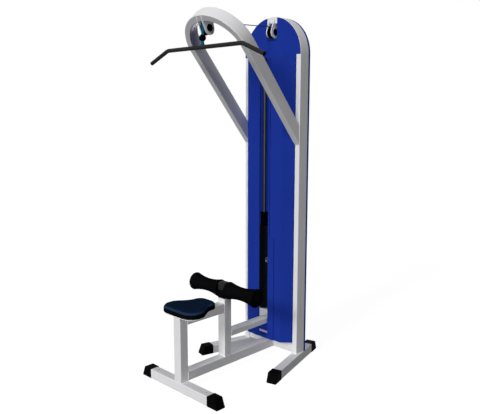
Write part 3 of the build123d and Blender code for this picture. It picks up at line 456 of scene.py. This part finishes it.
def strap_section():
    """Outline of the flat strap, as (across, out), with two round edges."""
    edge = BELT_THICK / 2
    flat = BELT_HALF_WIDTH - edge
    section = []
    for side in (1, -1):
        for step in range(EDGE_STEPS + 1):
            angle = side * pi / 2 - pi * step / EDGE_STEPS
            section.append((side * flat + edge * cos(angle), edge * sin(angle)))
    return section


def band(name, path, body):
    """Flat strap along a path of (y, z) points, its width along x."""
    points = [Vector((0, y, z)) for y, z in path]
    section = strap_section()
    rings = []
    along = [0.0]
    for i, point in enumerate(points):
        before = points[max(i - 1, 0)]
        after = points[min(i + 1, len(points) - 1)]
        run = (after - before).normalized()
        out = Vector((0, -run.z, run.y))
        rings.append([point + Vector((x, 0, 0)) + out * h for x, h in section])
        if i:
            along.append(along[-1] + (point - before).length)
    piece = skin(name, rings, body, teal_webbing, along=along)
    return piece


def arc(centre, radius, start_degrees, end_degrees, steps):
    """Points round a centre in the (y, z) plane; 0 degrees points along +y."""
    sweep = end_degrees - start_degrees
    angles = [radians(start_degrees + sweep * i / steps) for i in range(steps + 1)]
    return [(centre[0] + radius * cos(a), centre[1] + radius * sin(a)) for a in angles]


# %% Over the pulleys
WRAP_STEPS = 24
# the run between the pulleys rises to the rear by this many degrees
climb = atan2(tower_hub.z - front_hub.z, tower_hub.y - front_hub.y) * 180 / pi
over_both = arc(front_hub.yz, PITCH_RADIUS, 180, 90 + climb, WRAP_STEPS)
over_both += arc(tower_hub.yz, PITCH_RADIUS, 90 + climb, 0, WRAP_STEPS)
top_run = band("belt_over_pulleys", over_both, "frame")
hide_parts("belt_top_run")
pieces_of_run = [(Vector(b) - Vector(a)).length for a, b in zip(over_both, over_both[1:])]
print("belt over the pulleys:", round(sum(pieces_of_run), 3), "m")

# %% [markdown]
# ## The belt's drops
# As the bar is pulled, the front drop gets longer and the rear one shorter. Each is a band with
# rings only at its two ends, laid where the CAD drop was.

# %% Two drops
to_middle = Vector((BELT_THICK / 2, 0))
front_drop = band("belt_drop_to_bar", [front_high.yz - to_middle, front_low.yz + to_middle], None)
rear_drop = band("belt_drop_to_stack", [rear_high.yz - to_middle, rear_low.yz + to_middle], None)
for drop, node, body, low, high in (
        (front_drop, "belt_front_drop", "hanger", front_low, front_high),
        (rear_drop, "belt_rear_drop", "carriage", rear_low, rear_high)):
    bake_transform(drop)
    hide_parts(node)
    print(drop.name, "at rest:", round(high.z - low.z, 3), "m")

# %% [markdown]
# ## The belt's folded ends
# Each end is folded round a pin and laid back on itself. The two layers lie flat together and
# part to go round the pin. The path runs down one layer, round the pin and up the other.

# %% Folded ends
PIN_RADIUS = 4 * MM
# where the layers part: height above the pin in loop radii, and distance from the middle as a
# share of half the strap's thickness, or of the loop's own centre line for the last
LAYERS_TOGETHER = 2.6
BEGIN_TO_PART = (2.1, 1.25)
NEARLY_ROUND = (1.2, 0.72)
LOOP_START = 165
LOOP_END = 375
LOOP_STEPS = 20


def folded_end(name, node, body):
    """Strap folded round a pin, in the place and height of a CAD node."""
    low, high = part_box(node)
    middle = (low.y + high.y) / 2
    loop = (high.y - low.y) / 2
    pin = (middle, low.z + loop)
    centre_line = PIN_RADIUS + BELT_THICK / 2
    half = BELT_THICK / 2
    side = [(half, high.z - pin[1]),
            (half, loop * LAYERS_TOGETHER),
            (half * BEGIN_TO_PART[1], loop * BEGIN_TO_PART[0]),
            (centre_line * NEARLY_ROUND[1], loop * NEARLY_ROUND[0])]
    down = [(middle - y, pin[1] + z) for y, z in side]
    up = [(middle + y, pin[1] + z) for y, z in reversed(side)]
    piece = band(name, down + arc(pin, centre_line, LOOP_START, LOOP_END, LOOP_STEPS) + up, body)
    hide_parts(node)
    print(name, "is", round(high.z - low.z, 3), "m tall")


folded_end("belt_end_at_bar", "belt_front_end", "hanger")
folded_end("belt_end_at_stack", "belt_rear_end", "carriage")

# %% [markdown]
# ## The stop ball
# A rubber ball on the strap stops the bar before its loop can reach the pulley. It is moulded in
# two halves, so it has a parting line round its middle, and a flat boss where the strap goes in.
# It is a row of circles up the z axis, which leaves the parting line and the bosses easy to set.

# %% Rings of a round piece
def ring(centre, axis, radius, count):
    """Points of a circle square to the x or z axis."""
    spots = []
    for i in range(count):
        a = 2 * pi * i / count
        across, up = radius * cos(a), radius * sin(a)
        offset = Vector((0, across, up)) if axis == "x" else Vector((across, up, 0))
        spots.append(centre + offset)
    return spots


# %% Stop ball
BALL_SIDES = 48
BALL_STEPS = 32                # an even number, so that one ring falls on the parting line
PARTING_LINE = 0.5 * MM
BOSS_RADIUS = 11.5 * MM
BOSS_RISE = 1.2 * MM
BOSS_TAPER = 0.8 * MM

ball_low, ball_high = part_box("ball_stop")
ball_radius = (ball_high.x - ball_low.x) / 2
ball_centre = (ball_low + ball_high) / 2
boss_height = (ball_radius ** 2 - BOSS_RADIUS ** 2) ** 0.5
ball_rings = []
for step in range(BALL_STEPS + 1):
    height = -boss_height + 2 * boss_height * step / BALL_STEPS
    radius = (ball_radius ** 2 - height ** 2) ** 0.5
    if step == BALL_STEPS // 2:
        radius += PARTING_LINE
    ball_rings.append(ring(ball_centre + Vector((0, 0, height)), "z", radius, BALL_SIDES))
lip = Vector((0, 0, boss_height + BOSS_RISE))
low_lip = ring(ball_centre - lip, "z", BOSS_RADIUS - BOSS_TAPER, BALL_SIDES)
high_lip = ring(ball_centre + lip, "z", BOSS_RADIUS - BOSS_TAPER, BALL_SIDES)
stop_ball = skin("moulded_stop_ball", [low_lip] + ball_rings + [high_lip], "hanger", black_rubber)
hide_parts("ball_stop")
print("stop ball radius:", round(ball_radius / MM, 1), "mm")

# %% [markdown]
# ## Foam thigh rollers
# The rollers are moulded from closed-cell foam: a thick sleeve with a waist, on a steel axle. The
# foam's skin is nearly matt black with small pores and shallow dimples. A sleeve is a row of
# circles along the axle, with well-rounded rims and flat ends. Its waist is a parabola, and the
# outer end is a little thicker than the inner one.

# %% Profile of a roller
ROLLER_RIM = 9 * MM            # radius of the round at each end
ROLLER_WAIST = 40.5 * MM
ROLLER_INNER = 57 * MM
ROLLER_OUTER = 59.5 * MM
ROLLER_STEPS = 30
ROLLER_SIDES = 72
RIM_STEPS = 8
AXLE_HOLE = 12.6 * MM
HOLE_CHAMFER = 2 * MM
HOLE_DEPTH = 0.5 * MM


def roller_radius(share):
    """Radius along the roller, from its inner end at 0 to its outer end at 1."""
    waist_drop = (ROLLER_INNER + ROLLER_OUTER) / 2 - ROLLER_WAIST
    ends = ROLLER_INNER + (ROLLER_OUTER - ROLLER_INNER) * share
    return ends - 4 * waist_drop * share * (1 - share)


def rim(centre_x, centre_radius, way):
    """Quarter round of a rim as (x, radius), from the end face to the skin; way is -1 or 1."""
    angles = [pi / 2 * step / RIM_STEPS for step in range(RIM_STEPS + 1)]
    return [(centre_x + way * ROLLER_RIM * cos(a), centre_radius + ROLLER_RIM * sin(a))
            for a in angles]


def roller_profile(near, far):
    """The roller's section as (x, radius), from its inner hole over the skin to its outer hole."""
    length = far - near
    edge = ROLLER_RIM / length
    waist = []
    for step in range(1, ROLLER_STEPS):
        share = edge + (1 - 2 * edge) * step / ROLLER_STEPS
        waist.append((near + length * share, roller_radius(share)))
    profile = [(near + HOLE_DEPTH, AXLE_HOLE), (near, AXLE_HOLE + HOLE_CHAMFER)]
    profile += rim(near + ROLLER_RIM, roller_radius(edge) - ROLLER_RIM, -1)
    profile += waist
    profile += reversed(rim(far - ROLLER_RIM, roller_radius(1 - edge) - ROLLER_RIM, 1))
    return profile + [(far, AXLE_HOLE + HOLE_CHAMFER), (far - HOLE_DEPTH, AXLE_HOLE)]


# %% Two rollers
# the foam's moulded skin: pores of about 2 mm that break it up, and nothing that shines
foam = coat("closed-cell foam skin", "#101011", "#08080A", roughness=0.58, grain_mm=2.2,
            depth_mm=0.22, gloss=0.0, patch_mm=14)


def foam_roller(name, node, body, side):
    """One roller in a CAD node's place; side is 1 on the machine's left and -1 on its right."""
    low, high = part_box(node)
    near, far = (low.x, high.x) if side > 0 else (-high.x, -low.x)
    axle = Vector((0, (low.y + high.y) / 2, (low.z + high.z) / 2))
    rings = [ring(axle + Vector((side * x, 0, 0)), "x", radius, ROLLER_SIDES)
             for x, radius in roller_profile(near, far)]
    if side < 0:
        rings.reverse()
    piece = skin(name, rings, body, foam, closed=True)
    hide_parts(node)
    print(name, "length", round(far - near, 3), "m, waist", round(2 * ROLLER_WAIST, 3), "m across")


foam_roller("foam_roller_left", "thigh_roller_left", "roller_left", 1)
foam_roller("foam_roller_right", "thigh_roller_right", "roller_right", -1)

# %% [markdown]
# ## The seat pad
# The pad is foam on a board, in a vinyl cover. A black band goes round its side and a navy panel
# over its top, joined by a stitched seam under the shoulder. The pad starts as a plain form in
# the shape of its outline. A cloth simulation with air pressure then swells it between its
# edges, as the foam does, with its base held flat. The seam and the stitches come after that.
# The outline is a wide front, a waist on each side and a narrow lobe at the rear: eight corners,
# each rounded with its own radius, and the two halves are mirror images.

# %% Outline of the seat
# the left half, front to rear, in mm: corners as (x, y), and the radius of each
SEAT_CORNERS = [(146, -49), (146, 57), (82, 150), (82, 233)]
SEAT_ROUNDS = [75, 50, 80, 55]
OUTLINE_SPACING = 4 * MM
ROUND_STEPS = 12


def round_corner(last, corner, following, radius):
    """Points of the arc that rounds a corner between its two neighbours, all in mm."""
    to_last = (last - corner).normalized()
    to_next = (following - corner).normalized()
    half_angle = to_last.angle(to_next) / 2
    middle = corner + (to_last + to_next).normalized() * radius / sin(half_angle)
    start = corner + to_last * radius / tan(half_angle) - middle
    sweep = pi - 2 * half_angle
    turn = 1 if to_last.cross(to_next) < 0 else -1
    spots = []
    for step in range(ROUND_STEPS + 1):
        a = turn * sweep * step / ROUND_STEPS
        x = start.x * cos(a) - start.y * sin(a)
        y = start.x * sin(a) + start.y * cos(a)
        spots.append(middle + Vector((x, y)))
    return spots


def rounded_outline(corners, rounds, spacing):
    """Closed outline in metres from corners in mm, each with its own radius, evenly spaced."""
    spots = [Vector(corner) for corner in corners]
    path = []
    for i, spot in enumerate(spots):
        path += round_corner(spots[i - 1], spot, spots[(i + 1) % len(spots)], rounds[i])
    path = [point * MM for point in path]
    lengths = [(path[(i + 1) % len(path)] - path[i]).length for i in range(len(path))]
    whole = sum(lengths)
    count = round(whole / spacing)
    points = []
    travelled = 0.0
    i = 0
    for step in range(count):
        wanted = whole * step / count
        while travelled + lengths[i] < wanted:
            travelled += lengths[i]
            i += 1
        points.append(path[i].lerp(path[(i + 1) % len(path)], (wanted - travelled) / lengths[i]))
    return points


def outward(outline, i):
    """Unit vector out of a counter-clockwise outline."""
    run = (outline[(i + 1) % len(outline)] - outline[i - 1]).normalized()
    return Vector((run.y, -run.x))


right_half = [(-x, y) for x, y in reversed(SEAT_CORNERS)]
seat_outline = rounded_outline(
    SEAT_CORNERS + right_half, SEAT_ROUNDS + SEAT_ROUNDS[::-1], OUTLINE_SPACING)
print("seat outline:", len(seat_outline), "points")

# %% [markdown]
# ## Vinyl
# Seat vinyl is a soft plastic skin pressed with a leather grain: cells with creases between them.
# One material covers the whole pad and chooses its colour by height, so the band, the seam and
# the panel meet exactly where the stitches will be. Between the seam and the shoulder the panel
# has a third, paler colour: a painted highlight on the rounded edge, which faces the front lamp.

# %% Vinyl with a seam
seat_low, seat_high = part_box("seat_pad")
SEAM_HEIGHT = seat_low.z + 27 * MM
SHOULDER_HEIGHT = SEAM_HEIGHT + 11 * MM
SEAM_BLUR = 0.3 * MM           # half of the height over which one colour turns into the next
SHOULDER_BLUR = 1.5 * MM
CLOUD_MM = 90                  # size of the faint clouds in the panel's colour
CELL_MM = 2.4                  # real vinyl grain is near 1 mm; cells of 2.4 mm can still be seen
CELL_EDGE = 0.25               # how much of a cell slopes down to the crease round it
CREASE_REACH = 1.6 * MM        # the cover folds in this far either side of the seam
CREASE_DEPTH = 4.0             # in heights of the grain


def vinyl(name, band_colour, panel_colours, painted_highlight_colour):
    """Leather-grained vinyl: a band below the seam, a panel above, and a painted highlight up to
    the shoulder.
    """
    material = bpy.data.materials.new(name)
    tree = new_tree(material)
    place = add(tree, "ShaderNodeTexCoord").outputs["Object"]
    height = add(tree, "ShaderNodeSeparateXYZ", links={0: place}).outputs["Z"]
    above = add(tree, "ShaderNodeMapRange",
                {"From Min": SEAM_HEIGHT - SEAM_BLUR, "From Max": SEAM_HEIGHT + SEAM_BLUR},
                {"Value": height})
    patches = add(tree, "ShaderNodeTexNoise", {"Scale": 1 / (CLOUD_MM * MM), "Detail": 2.0},
                  {"Vector": place})
    panel = add(tree, "ShaderNodeMix",
                {"data_type": "RGBA", 6: linear(panel_colours[0]), 7: linear(panel_colours[1])},
                {0: patches.outputs[0]})
    # below the shoulder the panel turns paler: a painted highlight on the edge that faces the front
    # lamp
    flat = add(tree, "ShaderNodeMapRange",
               {"From Min": SHOULDER_HEIGHT - SHOULDER_BLUR,
                "From Max": SHOULDER_HEIGHT + SHOULDER_BLUR}, {"Value": height})
    cover = add(tree, "ShaderNodeMix", {"data_type": "RGBA", 6: linear(painted_highlight_colour)},
                {0: flat.outputs[0], 7: panel.outputs[2]})
    tint = add(tree, "ShaderNodeMix", {"data_type": "RGBA", 6: linear(band_colour)},
               {0: above.outputs[0], 7: cover.outputs[2]})
    cells = add(tree, "ShaderNodeTexVoronoi",
                {"feature": "DISTANCE_TO_EDGE", "Scale": 1 / (CELL_MM * MM)}, {"Vector": place})
    grain = add(tree, "ShaderNodeMapRange", {"From Max": CELL_EDGE},
                {"Value": cells.outputs["Distance"]})
    away = add(tree, "ShaderNodeMath", {"operation": "SUBTRACT", 1: SEAM_HEIGHT}, {0: height})
    near = add(tree, "ShaderNodeMath", {"operation": "ABSOLUTE"}, {0: away.outputs[0]})
    crease = add(tree, "ShaderNodeMapRange", {"From Max": CREASE_REACH, "To Max": CREASE_DEPTH},
                 {"Value": near.outputs[0]})
    relief = add(tree, "ShaderNodeMath", {"operation": "ADD"},
                 {0: grain.outputs[0], 1: crease.outputs[0]})
    bump = add(tree, "ShaderNodeBump", {"Strength": 0.7, "Distance": 0.15 * MM},
               {"Height": relief.outputs[0]})
    # a cell's top is worn a little smoother than the creases between cells
    rough = add(tree, "ShaderNodeMapRange", {"To Min": 0.5, "To Max": 0.4},
                {"Value": grain.outputs[0]})
    shader = add(tree, "ShaderNodeBsdfPrincipled", {"Specular IOR Level": 0.0},
                 {"Base Color": tint.outputs[2], "Roughness": rough.outputs[0],
                  "Normal": bump.outputs[0]})
    add(tree, "ShaderNodeOutputMaterial", links={0: shader.outputs[0]})
    return material


# matt upholstery vinyl hardly shines, so it has no gloss: the eye sees its grain and dark seam
# the third colour, #1E3451, is a painted highlight between the seam and the shoulder
seat_vinyl = vinyl("navy and black vinyl", "#0D0D0D", ("#15273F", "#121F33"), "#1E3451")
print("seam at", round(SEAM_HEIGHT, 4), "m, shoulder at", round(SHOULDER_HEIGHT, 4), "m")

# %% [markdown]
# ## The pad before it swells
# Rings of the outline, drawn in by different amounts, make the pad's plain form: a small bevel at
# the base, a side that is nearly upright, and a wide bevel up to the flat top. Cloth needs points
# that lie evenly over the surface, which rings don't give, so a voxel remesh spreads them out.

# %% Plain form of the pad
# how far each ring lies inside the outline, and its height above the board, in mm
PAD_PROFILE = [(7, 0), (1, 0), (0, 1.5), (0.6, 26), (1.2, 29), (11.5, 40), (14, 40.4)]
VOXEL = 4 * MM


def outline_ring(inset_mm, height_mm):
    """The seat's outline drawn in by some millimetres, at a height above the pad's base."""
    spots = []
    for i, point in enumerate(seat_outline):
        drawn = point - outward(seat_outline, i) * inset_mm * MM
        spots.append(Vector((drawn.x, drawn.y, seat_low.z + height_mm * MM)))
    return spots


def apply_shape(piece):
    """Replaces the piece's mesh by the one its modifiers make."""
    graph = bpy.context.evaluated_depsgraph_get()
    made = bpy.data.meshes.new_from_object(piece.evaluated_get(graph), depsgraph=graph)
    piece.modifiers.clear()
    piece.data = made


pad = skin("seat_cushion", [outline_ring(*step) for step in PAD_PROFILE], "frame", seat_vinyl)
remesh = pad.modifiers.new("even mesh", "REMESH")
remesh.mode = "VOXEL"
remesh.voxel_size = VOXEL
remesh.use_smooth_shade = True
apply_shape(pad)
print("seat pad:", len(pad.data.vertices), "points before the simulation")

# %% [markdown]
# ## The pad swells
# The cover is blown up as cloth with air pressure and no gravity. The base is held, because it
# lies on the board. Cloth also shrinks towards its own corners, which foam would never allow, so
# each point keeps only the part of its move that goes outward, and no more than 2 mm of that. A
# subdivision then smooths what the remesh left.

# %% Swell it
HELD_HEIGHT = 4 * MM           # above the base, up to which the cover stays where it is
PRESSURE = 4.0
MOST_RISE = 2.0 * MM
CLOTH_STEPS = 20
CLOTH_QUALITY = 6


def swell(piece, held_below):
    """Blows the piece up as cloth. Below held_below it stays; the foam keeps it from sinking in."""
    group = piece.vertex_groups.new(name="held")
    group.add([v.index for v in piece.data.vertices if v.co.z < held_below], 1.0, "REPLACE")
    before = [v.co.copy() for v in piece.data.vertices]
    out = [v.normal.copy() for v in piece.data.vertices]
    cloth = piece.modifiers.new("cover", "CLOTH")
    cloth.settings.quality = CLOTH_QUALITY
    cloth.settings.vertex_group_mass = "held"
    cloth.settings.use_pressure = True
    cloth.settings.uniform_pressure_force = PRESSURE
    cloth.settings.effector_weights.gravity = 0
    scene = bpy.context.scene
    for frame_number in range(1, CLOTH_STEPS + 1):
        scene.frame_set(frame_number)
    graph = bpy.context.evaluated_depsgraph_get()
    after = [v.co.copy() for v in piece.evaluated_get(graph).data.vertices]
    piece.modifiers.clear()
    piece.vertex_groups.clear()
    scene.frame_set(1)
    for vertex, old, new, normal in zip(piece.data.vertices, before, after, out):
        rise = min(max((new - old).dot(normal), 0.0), MOST_RISE)
        vertex.co = old + normal * rise


swell(pad, seat_low.z + HELD_HEIGHT)
smoother = pad.modifiers.new("fine mesh", "SUBSURF")
smoother.levels = 1
apply_shape(pad)
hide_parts("seat_pad")
pad_top = max(v.co.z for v in pad.data.vertices)
print("seat pad: top at", round(pad_top, 4), "m, CAD top", round(seat_high.z, 4))

# %% [markdown]
# ## The seat's seam
# The seam pulls the cover in by a millimetre all round. Above it runs a row of stitches: each is
# a short thread with its ends drawn in, laid on the swollen surface. Real stitches are about 4 mm
# long, and so are these, but the gap between two is as long as a stitch, so that they can be
# told apart.

# %% Pull the seam in
SEAM_PULL = 1.0 * MM
SEAM_REACH = 4 * MM            # above and below the seam
OUTSIDE = 30 * MM              # where a line towards the pad starts, away from its outline

for vertex in pad.data.vertices:
    away = abs(vertex.co.z - SEAM_HEIGHT)
    if away < SEAM_REACH:
        vertex.co -= vertex.normal * SEAM_PULL * (1 + cos(pi * away / SEAM_REACH)) / 2
surface = BVHTree.FromObject(pad, bpy.context.evaluated_depsgraph_get())


def on_pad(i, height):
    """Where a level line from outside meets the pad, at one of the outline's points."""
    out = Vector((*outward(seat_outline, i), 0))
    start = Vector((*seat_outline[i], height)) + out * OUTSIDE
    return surface.ray_cast(start, -out)[0]


seam_depth = (seat_outline[0] - on_pad(0, SEAM_HEIGHT).xy).length
print("the seam lies", round(seam_depth / MM, 1), "mm from the seat's outline")

# %% Many strands in one piece
def skin_many(name, strands, body, material):
    """One piece made of many closed strands of rings."""
    points = []
    faces = []
    for rings in strands:
        first = len(points)
        count = len(rings[0])
        points += [tuple(point) for ring_points in rings for point in ring_points]
        for i in range(len(rings) - 1):
            for j in range(count):
                k = (j + 1) % count
                a, b = first + i * count, first + (i + 1) * count
                faces.append((a + j, a + k, b + k, b + j))
        faces.append(tuple(first + j for j in reversed(range(count))))
        faces.append(tuple(first + (len(rings) - 1) * count + j for j in range(count)))
    mesh = bpy.data.meshes.new(name)
    mesh.from_pydata(points, [], faces)
    mesh.materials.append(material)
    return finish_piece(name, mesh, body)


# %% Stitches
STITCH_HEIGHT = SEAM_HEIGHT + 3.5 * MM
THREAD_RADIUS = 0.45 * MM
THREAD_SIDES = 6
END_SHARE = 0.45               # how thick a thread's ends are, as a share of its middle
END_LENGTH = 0.2               # how much of a stitch goes into each tapered end


def thread(path):
    """Rings of a thin round thread along points, with its two ends drawn in."""
    rings = []
    for i, point in enumerate(path):
        run = (path[min(i + 1, len(path) - 1)] - path[max(i - 1, 0)]).normalized()
        across = run.cross(Vector((0, 0, 1))).normalized()
        up = run.cross(across)
        width = THREAD_RADIUS * (END_SHARE if i in (0, len(path) - 1) else 1.0)
        angles = [2 * pi * k / THREAD_SIDES for k in range(THREAD_SIDES)]
        rings.append([point + across * width * cos(a) + up * width * sin(a) for a in angles])
    return rings


# nylon thread is bonded, so it lies as one smooth strand with a slight shine
navy_thread = coat("bonded nylon thread", "#1B2B40", "#152235", roughness=0.55, grain_mm=0.6,
                   depth_mm=0.03, gloss=0.3)
stitches = []
for i in range(0, len(seat_outline) - 1, 2):
    a, b = on_pad(i, STITCH_HEIGHT), on_pad(i + 1, STITCH_HEIGHT)
    if a and b:
        stitches.append(thread([a, a.lerp(b, END_LENGTH), a.lerp(b, 1 - END_LENGTH), b]))
row = skin_many("seat_stitches", stitches, "frame", navy_thread)
print("stitches:", len(stitches))

# %% [markdown]
# ## Welds
# The tubes are welded together. A weld is a bead with fine ripples, laid in the corner where two
# tubes meet and painted over with them. Here each bead is a small round section carried round the
# joint, its radius rising and falling every 3 mm. A joint is a tube's outline, laid level where
# one tube stands on another, or upright where one tube ends on another's face.

# %% A weld bead
BEAD_SIZE = 1.9                # radius, in mm as the next three are
RIPPLE_SIZE = 0.3
RIPPLE_LENGTH = 3.0
BEAD_SPACING = 1.0             # between two rings, so that a ripple takes three
BEAD_SIDES = 8
TUBE_ROUND = 5                 # radius of a tube's corners in mm


def bead(corners, place):
    """Rings of a rippled bead round a joint; place turns a point of the outline into space."""
    outline = rounded_outline(corners, [TUBE_ROUND] * len(corners), BEAD_SPACING * MM)
    path = [Vector(place(point)) for point in outline]
    centre = sum(path, Vector()) / len(path)
    angles = [2 * pi * k / BEAD_SIDES for k in range(BEAD_SIDES)]
    rings = []
    for i, point in enumerate(path):
        run = (path[(i + 1) % len(path)] - path[i - 1]).normalized()
        out = (point - centre).normalized()
        out = (out - run * out.dot(run)).normalized()
        side = run.cross(out)
        ripple = RIPPLE_SIZE * cos(2 * pi * i * BEAD_SPACING / RIPPLE_LENGTH)
        radius = (BEAD_SIZE + ripple) * MM
        rings.append([point + out * radius * cos(a) + side * radius * sin(a) for a in angles])
    return rings + [rings[0]]


def rectangle(width, height):
    """Corners of a rectangle round the origin, counter-clockwise, in mm."""
    w, h = width / 2, height / 2
    return [(w, -h), (w, h), (-w, h), (-w, -h)]


def level(x, y, z):
    """Lays an outline flat, round a point given in metres."""
    return lambda p: (x + p.x, y + p.y, z)


def upright(x, y, z):
    """Stands an outline up across the machine, round a point given in metres."""
    return lambda p: (x + p.x, y, z + p.y)


# %% Weld the frame
SQUARE_TUBE = 60               # sizes of the frame's tubes in mm
LINK_HEIGHT = 40
LEG_WIDTH = 40
LEG_DEPTH = 80
ARM_FOOT = 124                 # height of the arm's slanted end, where it meets the tower


def middle_of(node):
    """Middle of a node's box."""
    low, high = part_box(node)
    return (low + high) / 2


foot_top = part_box("foot_bar")[1].z
base_low, base_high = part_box("base_beam")
seat_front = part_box("seat_beam")[0].y
post_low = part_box("thigh_post")[0]
link_low, link_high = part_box("link_beam")
legs_low, legs_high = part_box("tower_hoop")
arm_foot_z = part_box("arm_hoop")[0].z + ARM_FOOT / 2 * MM
base_z, seat_z, link_z = (middle_of(node).z for node in ("base_beam", "seat_beam", "link_beam"))
leg_x = legs_high.x - LEG_WIDTH / 2 * MM

tube = rectangle(SQUARE_TUBE, SQUARE_TUBE)
link = rectangle(SQUARE_TUBE, LINK_HEIGHT)
beads = [
    bead(tube, level(0, 0, foot_top)),
    bead(tube, level(0, middle_of("thigh_post").y, post_low.z)),
    bead(tube, upright(0, base_low.y, base_z)),
    bead(tube, upright(0, seat_front, seat_z)),
    bead(tube, upright(0, post_low.y, seat_z)),
    bead(link, upright(0, link_low.y, link_z)),
    bead(link, upright(0, link_high.y, link_z)),
    bead(tube, upright(0, base_high.y, base_z)),
]
for side in (-1, 1):
    leg_foot = level(side * leg_x, middle_of("tower_hoop").y, legs_low.z)
    beads.append(bead(rectangle(LEG_WIDTH, LEG_DEPTH), leg_foot))
    arm_end = upright(side * leg_x, legs_low.y, arm_foot_z)
    beads.append(bead(rectangle(LEG_WIDTH, ARM_FOOT), arm_end))
welds = skin_many("weld_beads", beads, "frame", white_powder_coat)
print("welds:", len(beads))

# %% [markdown]
# ## Screws of the back cover
# The back cover is a tray over the rear of the tower. It comes off to reach the weights, so a row
# of screws goes through it into the tube, up both legs and round the arch. Each head is a low
# dome with a hexagon socket: a few rings, round outside and six-sided inside.

# %% One screw's head
SCREW_SIDES = 24
# radius and height above the sheet in mm, from the sheet over the dome to the socket's edge
DOME = [(6.5, -0.5), (6.5, 0.6), (5.9, 1.9), (4.6, 2.9), (3.2, 3.3)]
# the same for the socket's corners, from its edge to its floor
SOCKET = [(2.6, 3.3), (2.5, 1.5)]


def hexagon(a):
    """How far out a hexagon's edge lies at an angle, as a share of the way to its corners."""
    return cos(pi / 6) / cos((a + pi / 6) % (pi / 3) - pi / 6)


def screw_head(x, y, z):
    """Rings of a screw's head that faces the rear, round a point in metres."""
    angles = [-2 * pi * k / SCREW_SIDES for k in range(SCREW_SIDES)]
    rings = []
    for radius, height in DOME:
        rings.append([Vector((x + radius * cos(a) * MM, y + height * MM, z + radius * sin(a) * MM))
                      for a in angles])
    for radius, height in SOCKET:
        rings.append([Vector((x + radius * hexagon(a) * cos(a) * MM, y + height * MM,
                              z + radius * hexagon(a) * sin(a) * MM)) for a in angles])
    return rings


# %% Back cover's screws
SCREW_INSET = 20 * MM          # from the cover's edge, which is the middle of the tube behind it
SCREW_ROWS = 7
ARCH_SCREWS = 3

back_low, back_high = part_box("back_cover")
screw_radius = (back_high.x - back_low.x) / 2 - SCREW_INSET
arch_z = back_high.z - (back_high.x - back_low.x) / 2
lowest_z = back_low.z + 2 * SCREW_INSET
row_pitch = (arch_z - lowest_z) / (SCREW_ROWS - 1)
heads = []
for side in (-1, 1):
    for number in range(SCREW_ROWS):
        heads.append(screw_head(side * screw_radius, back_high.y, lowest_z + number * row_pitch))
for number in range(1, ARCH_SCREWS + 1):
    a = pi * number / (ARCH_SCREWS + 1)
    heads.append(screw_head(screw_radius * cos(a), back_high.y, arch_z + screw_radius * sin(a)))
screws = skin_many("back_cover_screws", heads, "frame", zinc_plate)
print("screws of the back cover:", len(heads))
